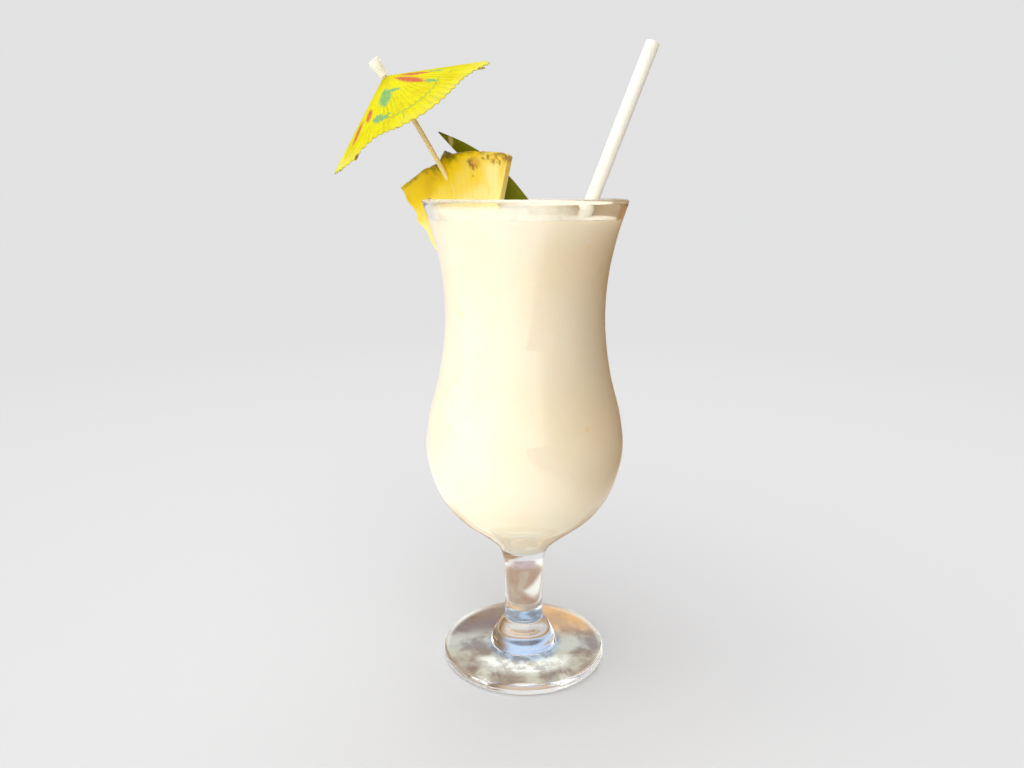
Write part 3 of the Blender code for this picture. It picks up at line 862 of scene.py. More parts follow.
def pale(place):
    """Share of the whitish flesh: the right of the flat face, and the torn foot."""
    waver = 2.0 * MM * lumps(Vector((place.x, place.y, place.z / 3)), 3)
    right = ease((place.x - 1.5 * MM + waver) / (5.0 * MM)) * ease((67.0 * MM - place.z) / (5 * MM))
    right *= ease((11.5 * MM - place.x) / (3 * MM))
    foot = ease((58 * MM + 0.6 * place.x - place.z + waver) / (7 * MM)) * 0.8
    return max(right, foot)


def shaded_right_side(place):
    """Painted shade on the right: a deeper yellow strip and a tan side, more of it higher up."""
    side = (atan2(place.x, place.z) - SLICE_RIGHT) * hypot(place.x, place.z)
    strip = ease(1.0 + (side + 1.2 * MM) / (2.6 * MM))
    return strip * ease((place.z - 51 * MM) / (13 * MM))


# %% [markdown]
# The small marks are ragged spots, each given by its place and size in millimetres: brown rests of the
# peel's eyes, and one deep eye with a dark wall and a pinkish heart. They are masks too. One loop then
# runs every mask function over the points and stores what it gives under the function's name.

# %% Marks of the slice
BROWN_MARKS = [(7.7, 65.0, 1.0), (9.9, 64.6, 0.9), (5.4, 66.6, 0.9), (12.2, 66.0, 1.2), (9.0, 66.6, 0.8),
               (3.4, 66.0, 0.5), (-10.9, 67.6, 1.3), (-26.4, 58.6, 0.7), (-20.5, 61.0, 0.5)]
TRAIL_MARKS = [(-0.4, 62.2, 0.5), (-0.9, 60.9, 0.4), (0.7, 62.4, 0.35), (-0.7, 59.6, 0.3)]


def mark(place, side, height, size):
    """Ragged spot at a place on the front."""
    wobble = 1 + 1.1 * lumps(place, 0.55)
    distance = hypot(place.x - side * MM, place.z - height * MM) / (size * MM * wobble)
    return exp(-distance ** 4)


def brown(place):
    """Dark brown marks near the peel, and a thin trail of them below the eye."""
    return max(mark(place, *spot) for spot in BROWN_MARKS + TRAIL_MARKS)


def eye_ring(place):
    """The dark wall of the eye's pit, strongest on its left and below."""
    aside = (place.x - EYE_SPOT.x) / EYE_RADIUS
    up = (place.z - EYE_SPOT.z) / (0.8 * EYE_RADIUS)
    wobble = 0.5 * lumps(place, 0.5)
    ring_share = exp(-((hypot(aside, up) - 0.85 + wobble) / 0.34) ** 2)
    return ring_share * max(0.55 - 0.5 * (aside + 0.35 * up) / (hypot(aside, up) + 0.1), 0.2)


def eye_heart(place):
    """The pinkish middle of the eye."""
    return mark(place, EYE_SPOT.x / MM + 0.3, EYE_SPOT.z / MM - 0.2, 1.5)


places = [stored_place.vector for stored_place in fruit.data.attributes["own"].data]
for mask_function in (golden, rind, green_skin, brown, eye_ring, eye_heart, pale, shaded_right_side):
    mask = fruit.data.attributes.new(mask_function.__name__, "FLOAT", "POINT")
    values = np.array([mask_function(place) for place in places], np.float32)
    mask.data.foreach_set("value", values)
    print(mask_function.__name__, "covers", round(100 * float(values.mean()), 1), "% of the points")

# %% [markdown]
# Pineapple flesh is wet, a little see-through and full of fibres that run out from the core. The streaks
# come from noise stretched along the radius, so the angle and the radius are worked out first. The
# masks then lay one colour over another, from the yellow ground to the dark marks. Real flesh looks lit
# from within, which is the subsurface light. The wet face is a lowish roughness with a thin coat.

# %% Finish of the slice
WARM_FLESH, PALE_FLESH, WHITE_FLESH = (0.95, 0.68, 0.03), (0.98, 0.84, 0.22), (0.99, 0.92, 0.46)
GOLD, DEEP_GOLD, OLIVE = (0.95, 0.66, 0.0), (0.86, 0.56, 0.0), (0.34, 0.26, 0.01)
TAN, BARK, PINK = (0.82, 0.6, 0.11), (0.17, 0.07, 0.012), (0.88, 0.5, 0.25)
LIGHT_BARK, RUST, EYE_PIT = (0.4, 0.2, 0.03), (0.72, 0.32, 0.06), (0.27, 0.075, 0.01)
FIBRE_SHADE, LIGHT_SKIN, DARK_SKIN = (0.85, 0.64, 0.03), (0.26, 0.3, 0.004), (0.09, 0.1, 0.005)
flesh, tree, shader = start_material("pineapple flesh", Roughness=0.45, Subsurface_Weight=0.2,
                                     Subsurface_Scale=1.6 * MM, Specular_IOR_Level=0.15, Coat_Weight=0.04,
                                     Coat_Roughness=0.15)
shader.inputs["Subsurface Radius"].default_value = (1.0, 0.7, 0.2)
place = own_place(tree)
x, y, z = split(place)
polar = joined(times(maths("ARCTAN2", x, z), 0.06), y, times(length_of(x, z), 0.12))
streaks = use(fibres, Vector=polar, Fineness=650.0, Contrast=2.6)
broad = use(fibres, Vector=polar, Fineness=200.0, Contrast=2.0)
patches = use(blotches, Vector=place, Scale=330.0, Low=0.42, High=0.6)
soft = use(blotches, Vector=place, Scale=140.0, Low=0.35, High=0.68)


def shared(mask_name, *amounts):
    """Strength of a mask, times some amounts."""
    return times(stored(tree, mask_name, "Fac"), *amounts)


colour = layered(
    mixed(times(broad, 0.55), WARM_FLESH, PALE_FLESH),
    (shared("pale", 0.85, maths("MULTIPLY_ADD", broad, 0.5, 0.6)), WHITE_FLESH),
    (times(ramp(streaks, 0.62, 0.85), 0.35), WHITE_FLESH),
    (times(fall(streaks, 0.15, 0.36), 0.4), FIBRE_SHADE),
    # painted shade on the right side of the slice, which turns from the light
    (shared("shaded_right_side", 0.75, maths("MULTIPLY_ADD", streaks, 0.5, 0.6)), TAN),
    (shared("golden"), mixed(soft, GOLD, DEEP_GOLD)),
    (shared("rind", 0.8, maths("MULTIPLY_ADD", patches, 0.7, 0.15)), mixed(shared("golden"), BARK, OLIVE)),
    (shared("green_skin", 0.9), mixed(patches, LIGHT_SKIN, DARK_SKIN)),
    (shared("brown", 0.85), mixed(patches, BARK, LIGHT_BARK)),
    (shared("eye_heart", 0.65), mixed(patches, PINK, RUST)),
    (shared("eye_ring"), EYE_PIT))
finished(shader, colour, maths("ADD", streaks, times(patches, 0.5)), 0.16 * MM, 0.6)
fruit.data.shade_smooth()
fruit.data.set_sharp_from_angle(angle=radians(60))
dress(fruit, flesh, "pineapple", "pineapple_slice")

# %% [markdown]
# The leaf is one thin stiff blade from the pineapple's crown. It is a grid bent into a shallow channel
# with slow waves, then thickened. Its foot is trimmed level, where it stands behind the slice. The
# streaks run from tip to foot, and a pale scar crosses the blade near the tip.

# %% Leaf
LEAF_TIP = Vector((-35.5, 226.6)) * MM
LEAF_FOOT = Vector((-1.6, 195.8)) * MM
LEAF_BOW = 2.2 * MM
LEAF_HALF_WIDTH = 4.9 * MM
LEAF_TRIM = 198.8 * MM
LEAF_THICKNESS = 0.5 * MM
LEAF_CLEARANCE = 0.75 * MM
LEAF_CHANNEL = 1.1 * MM
LEAF_WAVE = 0.25 * MM
LEAF_COLUMNS, LEAF_ROWS = 130, 24
LEAF_DARK, LEAF_LIGHT, LEAF_DEEP = (0.1, 0.13, 0.002), (0.31, 0.32, 0.015), (0.06, 0.075, 0.002)
LEAF_SCAR, LEAF_EDGE = (0.75, 0.58, 0.22), (0.42, 0.36, 0.12)


def leaf_point(along_leaf, across):
    """Point of the blade from its tip (0) to its foot (1), and from one edge (-1) to the other."""
    run = LEAF_FOOT - LEAF_TIP
    upper = Vector((-run.y, run.x)).normalized()
    middle = LEAF_TIP + run * along_leaf + upper * LEAF_BOW * sin(pi * along_leaf)
    taper = sin(pi / 2 * min(1.0, along_leaf / 0.85)) ** 0.8
    place = middle + upper * LEAF_HALF_WIDTH * taper * across
    channel = LEAF_CHANNEL * across * across * taper
    wave = LEAF_WAVE * (1 + sin(4 * pi * along_leaf + 2 * across))
    side = place.x - SLICE_POINT.x
    back = SLICE_POINT.y + SLICE_THICKNESS + side * tan(SLICE_TURN)
    return Vector((place.x, back + LEAF_CLEARANCE + channel + wave, place.y))


def make_leaf_mesh():
    bm = bmesh.new()
    bmesh.ops.create_grid(bm, x_segments=LEAF_COLUMNS, y_segments=LEAF_ROWS, size=1.0)
    lengthwise = bm.verts.layers.float.new("lengthwise")
    crosswise = bm.verts.layers.float.new("crosswise")
    for corner in bm.verts:
        part, across = (corner.co.x + 1) / 2, corner.co.y
        corner[lengthwise], corner[crosswise] = part, across
        corner.co = leaf_point(part, across)
    bmesh.ops.bisect_plane(bm, geom=bm.verts[:] + bm.edges[:] + bm.faces[:],
                           plane_co=(0, 0, LEAF_TRIM), plane_no=(0, 0, -1), clear_outer=True)
    bmesh.ops.remove_doubles(bm, verts=bm.verts[:], dist=0.02 * MM)
    return mesh_of(bm, "green_leaf")


def thicken(item, thickness):
    """Gives a thin sheet its two faces and its edge, with a modifier."""
    layers = item.modifiers.new("thickness", "SOLIDIFY")
    layers.thickness = thickness
    layers.offset = 0.0


leaf_green, tree, shader = start_material("leaf green", Roughness=0.55, Specular_IOR_Level=0.05)
across = stored(tree, "crosswise", "Fac")
part = stored(tree, "lengthwise", "Fac")
veins = joined(across, times(part, 0.12), 0.0)
streaks = use(fibres, Vector=veins, Fineness=14.0, Contrast=2.4)
scar = use(stroke, Vector=joined(part, across, 0.0), Centre=(0.13, 0.0, 0.0), Turn=1.6, Length=1.3,
           Width=0.028, Softness=0.3)
edge = ramp(maths("ABSOLUTE", across), 0.9, 1.0)
green = layered(mixed(streaks, LEAF_DARK, LEAF_LIGHT), (ramp(part, 0.35, 0.7, 0.0, 0.55), LEAF_DEEP),
                (times(scar, 0.9), LEAF_SCAR), (times(edge, 0.5), LEAF_EDGE))
finished(shader, green, streaks, 0.08 * MM, 0.6)
leaf = show("green_leaf", make_leaf_mesh(), leaf_green, "leaf", "leaf")
thicken(leaf, LEAF_THICKNESS)

# %% [markdown]
# The umbrella has its own frame: the origin is the top of the cone and Z runs up the pick. Its paper is
# one sheet in fine pleats. Eight ribs hold it out unevenly, so the edge is cut by a rule with a length
# for each rib and a dip between each two. The cone is wide, 64 degrees from its axis.

# %% Shape of the canopy
APEX = Vector((-53.0, -8.5, 244.5)) * MM
UMBRELLA_LEAN = radians(36.0)
UMBRELLA_HEADING = radians(204.2)
CANOPY_HALF_ANGLE = radians(64.0)
RIB_SLANTS = [40.0, 40.4, 39.8, 40.8, 42.8, 36.9, 33.4, 35.0]
EDGE_DIPS = [1.4, 1.0, 1.5, 1.2, 0.3, 4.0, -1.6, 2.6]
PLEATS = 64
PLEAT_DEPTH = 0.32 * MM
PAPER = 0.14 * MM
CRUMPLE = 0.12 * MM
CANOPY_HOLE = 1.45 * MM
POINTS_PER_PLEAT = 6
CANOPY_RINGS = 46
EDGE_FRAY = 0.25 * MM
umbrella = standing(along(UMBRELLA_LEAN, UMBRELLA_HEADING), APEX)


def edge_slant(angle):
    """Slant length of the canopy at an angle: the ribs' lengths, with paper dipping between."""
    turns = (angle / (2 * pi)) % 1.0 * len(RIB_SLANTS)
    rib = int(turns) % len(RIB_SLANTS)
    part = turns - int(turns)
    after = RIB_SLANTS[(rib + 1) % len(RIB_SLANTS)]
    straight = RIB_SLANTS[rib] + (after - RIB_SLANTS[rib]) * part
    return (straight - EDGE_DIPS[rib] * sin(pi * part)) * MM


def canopy_point(angle, slant, lift=0.0):
    """Point of the cone at an angle and a distance down its slope, lifted square to the paper."""
    half = CANOPY_HALF_ANGLE
    radius = slant * sin(half) + lift * cos(half)
    return Vector((radius * cos(angle), radius * sin(angle), -slant * cos(half) + lift * sin(half)))


def pleat(angle):
    """Height of the fold at an angle, from -1 to 1: straight sides with slightly soft creases."""
    phase = (angle / (2 * pi) * PLEATS) % 1.0
    tent = 1 - 4 * abs(phase - 0.5)
    return -tent * (1.12 - 0.12 * tent * tent)


def canopy_rows():
    """Rings from the hole at the top to the edge, in pleats that deepen outwards."""
    start = CANOPY_HOLE / sin(CANOPY_HALF_ANGLE)
    rows = []
    for part in np.linspace(0, 1, CANOPY_RINGS):
        row = []
        for angle in angles_round(PLEATS * POINTS_PER_PLEAT):
            fray = EDGE_FRAY * noise.noise(Vector((angle * 30, 0, 0))) - EDGE_FRAY
            slant = start + (edge_slant(angle) + fray - start) * part
            uneven = 1 + 0.35 * noise.noise(Vector((cos(angle) * 7, sin(angle) * 7, part * 2)))
            crumple = CRUMPLE * lumps(canopy_point(angle, slant), 3) * part
            fold = PLEAT_DEPTH * part * pleat(angle) * min(uneven, 1)
            row.append(canopy_point(angle, slant, fold + crumple))
        rows.append(row)
    return rows


# %% [markdown]
# The print is a loose flower pattern, and it repeats on the two halves of the paper. To place marks by
# an angle and a distance, the cone is first laid flat: its radius grows by the slope, and the back half
# is turned round onto the front half. Noise then makes the outlines of the print a little ragged.

# %% Paper laid flat
FOLD_AT = radians(12.0)
canopy_paper, tree, shader = start_material("canopy paper", Roughness=0.7, Specular_IOR_Level=0.1)
place = own_place(tree)
flat = vectors("MULTIPLY", place, (1 / sin(CANOPY_HALF_ANGLE),) * 2 + (0.0,))
first = turned_by(flat, -FOLD_AT)
sign = maths("SIGN", times(split(first)[1], -1.0))
folded = vectors("MULTIPLY", first, joined(sign, sign, sign))
front = turned_by(folded, FOLD_AT)
x, y, _ = split(front)
paper_angle = maths("ARCTAN2", y, x)
paper_slant = length_of(x, y)
raggedness = times(clouds(place, 700.0), 0.7 * MM)
ragged = vectors("ADD", front, joined(0.0, raggedness, 0.0))

# %% [markdown]
# Petals and leaves are lens-shaped strokes, given by angle, distance, tilt and half sizes in
# millimetres. The long stem is an arch: a thin band round a curve that drops as the angle leaves its
# middle, from one angle to another.

# %% Printed marks
PETALS = [(350, 12.0, 0, 6.0, 1.9), (322, 12.5, 0, 7.4, 2.1), (227, 17.0, 25, 3.6, 2.1),
          (212, 23.5, 5, 5.6, 2.2)]
LEAVES = [(356, 20.5, 8, 3.6, 1.3), (324, 21.6, 0, 2.8, 1.4), (261, 12.4, 0, 5.0, 3.2),
          (250, 21.4, 75, 3.6, 1.8), (260, 22.8, 100, 3.0, 1.0), (280, 11.0, 60, 4.4, 0.9)]
SHORT_STEMS = [(348, 26.0, 80, 3.0, 0.4), (278, 27.6, -8, 4.0, 0.4)]
EDGE_MARKS = [(230.1, 35.8, 0, 0.8, 0.5), (341.6, 35.3, 0, 0.8, 0.5), (347.6, 39.6, 0, 0.8, 0.5)]
STEM_MIDDLE, STEM_START, STEM_END = radians(-66), radians(-98), radians(-27)
STEM_HEIGHT, STEM_DROP = 27.2 * MM, 8.6 * MM
PRINT_EDGE = 0.45


def printed(marks):
    """The union of some strokes on the flattened paper."""
    total = 0.0
    for degrees_round, distance, tilt, length, width in marks:
        angle = radians(degrees_round)
        centre = (distance * MM * cos(angle), distance * MM * sin(angle), 0.0)
        one = use(stroke, Vector=ragged, Centre=centre, Turn=angle + radians(tilt),
                  Length=length * MM, Width=width * MM, Softness=PRINT_EDGE)
        total = maths("MAXIMUM", total, one)
    return total


def long_stem():
    """The thin band of the arched stem."""
    aside = maths("SUBTRACT", paper_angle, STEM_MIDDLE)
    drop = times(aside, aside, STEM_DROP)
    above = maths("SUBTRACT", maths("ADD", paper_slant, drop), STEM_HEIGHT)
    off_line = maths("ABSOLUTE", above)
    band = fall(off_line, 0.25 * MM, 0.75 * MM)
    begun = ramp(paper_angle, STEM_START, STEM_START + 0.03)
    ended = fall(paper_angle, STEM_END - 0.03, STEM_END)
    return times(band, begun, ended)


# %% [markdown]
# The paper itself is a bright yellow, paler towards the tips. The darker stripes in its folds are
# painted shade; the folds are found from the angle, because the pleats are evenly spaced. The dyes of
# the print go on top, with worn places where the yellow shows through.

# %% Finish of the canopy
YELLOW, YELLOW_DEEP, FOLD_SHADE = (0.56, 0.525, 0.001), (0.52, 0.45, 0.001), (0.4, 0.36, 0.002)
CORAL, MINT, STEM_GREEN = (0.45, 0.06, 0.05), (0.11, 0.32, 0.14), (0.25, 0.33, 0.06)
PALE_TIP, EDGE_OLIVE = (0.6, 0.56, 0.13), (0.35, 0.3, 0.02)
worn = maths("MULTIPLY_ADD", clouds(place, 600.0), 0.5, 0.6)
real_x, real_y, _ = split(flat)
real_angle = maths("ARCTAN2", real_y, real_x)
crease = maths("COSINE", times(real_angle, float(PLEATS)))
cloudy = clouds(place, 120.0, 3.0)
fold_shade = ramp(maths("MULTIPLY_ADD", crease, 0.22, clouds(place, 160.0, 2.0)), 0.55, 0.8)
tip_reach = maths("MULTIPLY_ADD", clouds(place, 90.0, 2.0), 12 * MM, paper_slant)
stems = maths("MAXIMUM", printed(SHORT_STEMS), long_stem())
yellow = layered(mixed(ramp(cloudy, 0.4, 0.65), YELLOW, YELLOW_DEEP),
                 # painted shade in the folds of the pleats
                 (times(fold_shade, 0.6), FOLD_SHADE),
                 (times(ramp(tip_reach, 34 * MM, 46 * MM), 0.55), PALE_TIP),
                 (times(stems, 0.6), STEM_GREEN),
                 (times(printed(LEAVES), worn), MINT),
                 (times(printed(PETALS), worn), CORAL),
                 (printed(EDGE_MARKS), EDGE_OLIVE))
grain = use(fibres, Vector=place, Fineness=1500.0, Contrast=1.3)
finished(shader, yellow, grain, 0.04 * MM, 0.4)
canopy_mesh = skin("paper_canopy", canopy_rows())
set_down(canopy_mesh, umbrella)
canopy = show("paper_canopy", canopy_mesh, canopy_paper, "canopy_paper", "canopy")
thicken(canopy, PAPER)

# %% [markdown]
# The knob that stops the umbrella from sliding off is a strip of white paper rolled up tightly. It flares
# towards its top. Only the outer turn and the edge of the strip show on its side, and the turns of the
# roll show on its dished end, so it is one closed shape with a small step and a spiral groove.

# %% Knob
KNOB_LENGTH = 6.9 * MM
KNOB_RADIUS = 2.3 * MM
KNOB_FOOT = 1.55 * MM
KNOB_LIFT = 0.15 * MM
KNOB_AROUND = 96
ROLL_PAPER = 0.17 * MM
ROLL_PITCH = 0.42 * MM
ROLL_GROOVE = 0.13 * MM
ROLL_DISH = 0.3 * MM
ROLL_SHADE, ROLL_WHITE = (0.96, 0.94, 0.87), (0.99, 0.98, 0.94)


def knob_ring(radius, height, dish=0.0):
    """One ring whose radius steps in by the paper's thickness where the strip ends."""
    points = []
    for i in range(KNOB_AROUND):
        turn_share = i / KNOB_AROUND
        angle = 2 * pi * turn_share
        reach = radius * (1 - ROLL_PAPER / KNOB_RADIUS * turn_share)
        groove = 0.0
        if dish:
            groove = ROLL_GROOVE * (1 + cos(2 * pi * (reach / ROLL_PITCH - turn_share))) / 2
        points.append(Vector((reach * cos(angle), reach * sin(angle), height - dish - groove)))
    return points


def knob_rows():
    """Rings up the flared side, then inwards over the dished end."""
    top = KNOB_LENGTH - 0.15 * MM
    rows = [[Vector((0, 0, KNOB_LIFT))]]
    for part in np.linspace(0, 1, 14):
        radius = KNOB_FOOT + (KNOB_RADIUS - KNOB_FOOT) * ease(1.25 * part)
        rows.append(knob_ring(radius, KNOB_LIFT + (top - KNOB_LIFT) * part))
    for share in np.linspace(0.96, 0.03, 40):
        rows.append(knob_ring(KNOB_RADIUS * share, top, 0.03 * MM + ROLL_DISH * (1 - share * share)))
    return rows + [[Vector((0, 0, top - ROLL_DISH))]]


rolled, tree, shader = start_material("rolled paper", Roughness=0.75, Specular_IOR_Level=0.3)
threads = use(fibres, Vector=drawn_out(own_place(tree), 0.3), Fineness=1100.0, Contrast=1.5)
finished(shader, mixed(threads, ROLL_SHADE, ROLL_WHITE), threads, 0.05 * MM, 0.5)
knob_mesh = skin("rolled_knob", knob_rows())
knob_mesh.set_sharp_from_angle(angle=radians(50))
set_down(knob_mesh, umbrella)
show("rolled_knob", knob_mesh, rolled, "knob_paper", "knob")

# %% [markdown]
# The pick is a thin stick of light wood. It runs straight from the knob through the umbrella, then bends
# slightly down into the fruit. A smooth curve with that start direction and that end, swept with a small
# circle, makes it. The grain is noise drawn out along the stick, so its space is first turned to lie
# along it.

# %% Pick
PICK_RADIUS = 1.0 * MM
PICK_STRAIGHT = 17.5 * MM
PICK_PULL = 8.0 * MM
PICK_TIP = Vector((-21.5, 8.6, 189.6)) * MM
PICK_SHORT_OF_KNOB = 2.2 * MM
PICK_SLOPE = radians(34.0)
PICK_AROUND = 20
PICK_GRAIN, PICK_PALE = (0.92, 0.64, 0.21), (1.0, 0.88, 0.48)


def pick_line():
    """Middle line of the pick, from inside the knob to its tip in the fruit."""
    axis = along(UMBRELLA_LEAN, UMBRELLA_HEADING)
    top = APEX + axis * (KNOB_LENGTH - PICK_SHORT_OF_KNOB)
    start = APEX - axis * PICK_STRAIGHT
    pull = start - axis * PICK_PULL
    bend = [cubic(start, pull, pull.lerp(PICK_TIP, 0.5), PICK_TIP, t) for t in np.linspace(0, 1, 8)]
    return smooth_line([top] + bend, 12)


def pick_rows():
    """Rings along the pick, smaller at its tip."""
    line = pick_line()
    rows = []
    for i, point in enumerate(line):
        run = (line[min(i + 1, len(line) - 1)] - line[max(i - 1, 0)]).normalized()
        side = run.cross(Vector((0, 1, 0))).normalized()
        other = run.cross(side)
        left = 1 - i / (len(line) - 1)
        radius = (PICK_RADIUS - 0.05 * MM) * min(1.0, 0.35 + 6 * left)
        circle = angles_round(PICK_AROUND)
        rows.append([point + (side * cos(a) + other * sin(a)) * radius for a in circle])
    return [[line[0]]] + rows + [[line[-1]]]


pick_wood, tree, shader = start_material("pick wood", Roughness=0.5)
lengthwise = drawn_out(turned_by(plain_place(tree), PICK_SLOPE, "Y"), 0.05)
threads = use(fibres, Vector=lengthwise, Fineness=1400.0, Contrast=1.6)
finished(shader, mixed(threads, PICK_GRAIN, PICK_PALE), threads, 0.05 * MM, 0.5)
show("wooden_pick", skin("wooden_pick", pick_rows()), pick_wood, "pick_wood", "pick")

# %% [markdown]
# Under the paper, the frame of split wood and card keeps the shapes it was loaded with. Each bar gets
# its sharp edges taken off and a wood or card finish, so that it also looks right from below.

# %% Frame of the umbrella
EDGE_SOFTNESS = 0.1 * MM
WOOD_GRAIN, WOOD_PALE = (0.52, 0.34, 0.14), (0.8, 0.6, 0.32)
CARD_PALE, CARD_BROWN = (0.8, 0.68, 0.46), (0.68, 0.54, 0.32)
split_wood, tree, shader = start_material("split wood", Roughness=0.6)
threads = use(fibres, Vector=plain_place(tree), Fineness=900.0, Contrast=1.5)
finished(shader, mixed(threads, WOOD_GRAIN, WOOD_PALE), threads, 0.04 * MM, 0.5)
card, tree, shader = start_material("card", Roughness=0.8)
mottle = use(blotches, Vector=plain_place(tree), Scale=700.0, Low=0.35, High=0.7)
finished(shader, mixed(mottle, CARD_PALE, CARD_BROWN), mottle, 0.03 * MM, 0.5)
for node_name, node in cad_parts.items():
    if node_name.startswith(("rib", "strut", "crown", "runner")):
        wear(node, card if node_name in ("crown", "runner") else split_wood)
        soft_edge = node.modifiers.new("soft edges", "BEVEL")
        soft_edge.width = EDGE_SOFTNESS
        soft_edge.segments = 2

# %% [markdown]
# The drink stands on a plain pale floor that fades into the backdrop far away, so no horizon cuts the
# picture. The fade is by distance on the floor: the lit colour goes out while the same glow as the
# backdrop's comes in.

# %% Floor
FLOOR_REACH = 30.0
FADE_FROM, FADE_TO = 0.25, 0.9
BACKDROP, FLOOR_PALE, BLACK = (0.765, 0.765, 0.77), (0.52, 0.53, 0.55), (0.0, 0.0, 0.0)


def floor_sheet(name, height, material):
    """Wide flat sheet that belongs to the stage and not to the part."""
    bm = bmesh.new()
    bmesh.ops.create_grid(bm, x_segments=1, y_segments=1, size=FLOOR_REACH)
    item = linked(name, mesh_of(bm, name))
    item.location.z = height
    wear(item, material)
    return item


pale_floor, tree, shader = start_material("pale floor", Roughness=1.0, Specular_IOR_Level=0.0,
                                          Emission_Strength=1.0)
x, y, _ = split(plain_place(tree))
away = ramp(length_of(x, y), FADE_FROM, FADE_TO)
feed(shader.inputs["Base Color"], mixed(away, FLOOR_PALE, BLACK))
feed(shader.inputs["Emission Color"], mixed(away, BLACK, BACKDROP))
floor = floor_sheet("floor", -0.02 * MM, pale_floor)
floor.visible_transmission = False
floor.visible_glossy = False

# %% [markdown]
# Glass shows whatever lies around it. A second sheet just under the floor is seen only by rays that have
# been through the glass or off it. It is bright, so the glass stays clear, and it carries painted
# reflections and shade: warm, tawny and slate patches near the foot, which give the stem and the plate
# their depths, painted glints, a gleam and a sheen, and a painted dusk to the right. It glows instead of
# being lit, so its colours stay as chosen.

# %% Sheet under the glass
SHEET_PALE, SHEET_BRIGHT, SHEET_DUSK = (0.82, 0.86, 0.81), (1.8, 1.77, 1.7), (0.38, 0.23, 0.1)
SHEET_GLOSS, SHEET_PINK = (1.15, 1.18, 1.1), (0.5, 0.36, 0.4)
SHEET_TAN, SHEET_CREAM = (0.31, 0.23, 0.17), (0.64, 0.61, 0.49)
SHEET_ORANGE, SHEET_BROWN, SHEET_STEM = (0.85, 0.47, 0.17), (0.2, 0.11, 0.07), (0.42, 0.25, 0.17)
SHEET_BLUE, SHEET_SLATE = (0.43, 0.58, 0.77), (0.22, 0.25, 0.3)
glow, tree, shader = start_material("glow under the glass", Base_Color=BLACK, Roughness=1.0,
                                    Specular_IOR_Level=0.0, Emission_Strength=1.0)
place = plain_place(tree)
x, y, _ = split(place)
distance = length_of(x, y)
mottle = use(blotches, Vector=place, Scale=75.0, Low=0.4, High=0.6)
fine_mottle = use(blotches, Vector=place, Scale=190.0, Low=0.42, High=0.58)
slow_mottle = use(blotches, Vector=place, Scale=22.0, Low=0.4, High=0.62)


def under_plate():
    """Painted reflections: tan and cream, brown and orange at the rear, glints in front, blue under the
    hub.
    """
    rear = mixed(ramp(x, -6 * MM, 8 * MM), SHEET_BROWN, SHEET_ORANGE)
    rear_share = times(ramp(y, 2 * MM, 16 * MM), maths("MULTIPLY_ADD", mottle, 0.35, 0.6))
    glint = times(fall(y, -14 * MM, -8 * MM), fall(distance, 21 * MM, 27 * MM),
                  maths("MULTIPLY_ADD", fine_mottle, 0.5, 0.4))
    return layered(mixed(mottle, SHEET_TAN, SHEET_CREAM), (rear_share, rear), (glint, SHEET_GLOSS),
                   (fall(distance, 13 * MM, 18 * MM), mixed(fine_mottle, SHEET_SLATE, SHEET_BLUE)))


def behind_stem():
    """Painted reflections behind the stem: tawny turning pink with distance, and one pale gleam."""
    gleam = use(stroke, Vector=place, Centre=(-34 * MM, 52 * MM, 0.0), Turn=0.2, Length=34 * MM,
                Width=12 * MM, Softness=0.5)
    return layered(mixed(ramp(y, 80 * MM, 150 * MM), SHEET_STEM, SHEET_PINK),
                   (times(slow_mottle, 0.45), SHEET_CREAM), (times(gleam, 0.7), SHEET_GLOSS))


# Behind the stem, a lane that carries its painted reflections.
lane = times(ramp(y, 20 * MM, 40 * MM), fall(y, 180 * MM, 330 * MM),
             fall(maths("ABSOLUTE", x), 50 * MM, 120 * MM))
# Far away the sheet is bright, with a painted dusk shade towards the right.
far = layered(mixed(ramp(y, -100 * MM, 350 * MM), SHEET_BRIGHT, BACKDROP),
              (ramp(x, 40 * MM, 200 * MM), SHEET_DUSK))
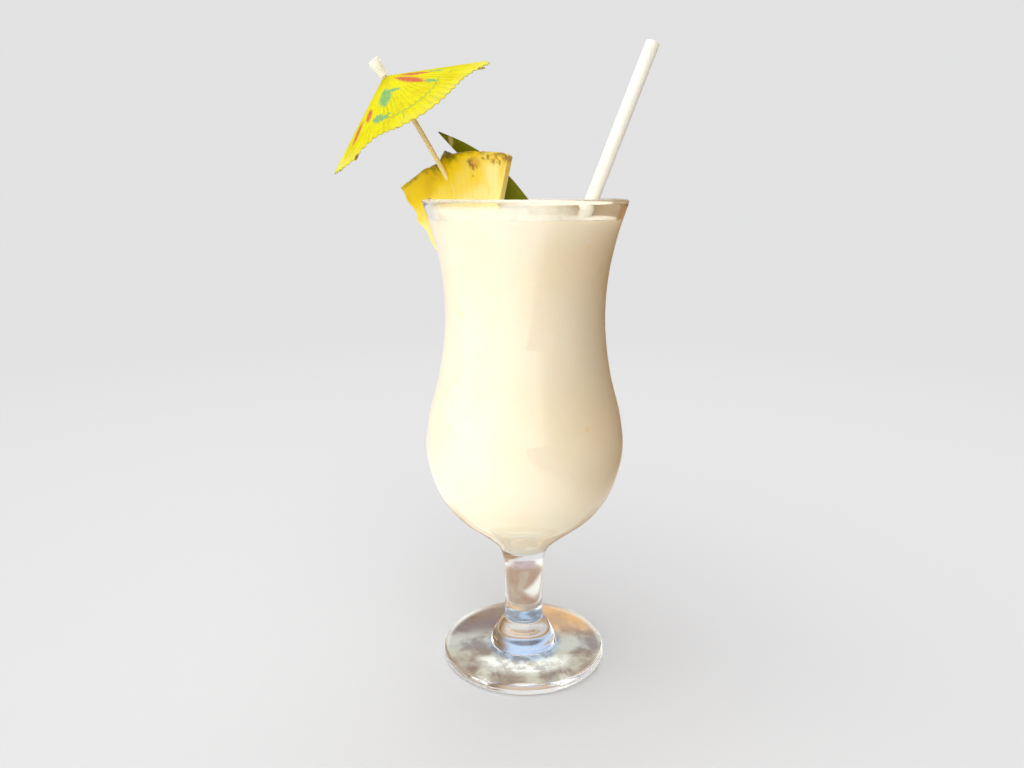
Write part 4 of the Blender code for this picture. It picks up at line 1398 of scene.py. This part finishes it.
# Close to the foot, a painted sheen on the left.
close = mixed(ramp(x, -24 * MM, -8 * MM), SHEET_GLOSS, SHEET_PALE)
around = layered(close, (ramp(distance, 55 * MM, 130 * MM), far), (lane, behind_stem()))
sheet_colour = mixed(ramp(distance, 33 * MM, 36 * MM), under_plate(), around)
feed(shader.inputs["Emission Color"], sheet_colour)
under_sheet = floor_sheet("under_sheet", -0.06 * MM, glow)
under_sheet.visible_camera = False
under_sheet.visible_diffuse = False
under_sheet.visible_shadow = False

# %% [markdown]
# The light is a bright even studio all round, which suits glass: it has no lamps to mirror as hard dots.
# The top is brightest, the left and the front come next, and the right falls off to a warm dusk, so the
# pale drink turns tawny towards its right edge. Bands of tan, blue and slate high up behind the glass are
# what its stem and hub bend into view. The camera sees only a plain pale backdrop. Light bounces many
# times inside solid glass, so more bounces are allowed than usual. Blurring the reflections of indirect
# light is switched off too, because it keeps light from getting out of the glass again.

# %% Light
BRIGHT, TOP, DUSK = (1.95, 1.935, 1.88), (2.8, 2.77, 2.7), (0.17, 0.08, 0.01)
HIGH_TAN, HIGH_BLUE, HIGH_SLATE = (0.55, 0.4, 0.28), (0.5, 0.66, 0.92), (0.14, 0.17, 0.24)
world = bpy.data.worlds.new("studio")
bpy.context.scene.world = world
world.use_nodes = True
tree = world.node_tree
background = tree.nodes["Background"]
direction = tree.nodes.new("ShaderNodeTexCoord").outputs["Generated"]
x, y, z = split(direction)
high_bands = layered(mixed(ramp(z, 0.24, 0.34), BACKDROP, HIGH_TAN),
                     (ramp(z, 0.42, 0.47), HIGH_BLUE), (ramp(z, 0.55, 0.6), HIGH_SLATE))
studio = layered(mixed(ramp(y, 0.1, 0.6), BRIGHT, high_bands),
                 (ramp(z, 0.6, 0.9), TOP), (ramp(x, 0.22, 0.55), DUSK))
seen = tree.nodes.new("ShaderNodeLightPath").outputs["Is Camera Ray"]
feed(background.inputs["Color"], mixed(seen, studio, BACKDROP))
bounces = bpy.context.scene.cycles
bounces.max_bounces = 20
bounces.glossy_bounces = 14
bounces.transmission_bounces = 16
bounces.diffuse_bounces = 8
bounces.blur_glossy = 0.0
print("bounces", bounces.max_bounces)
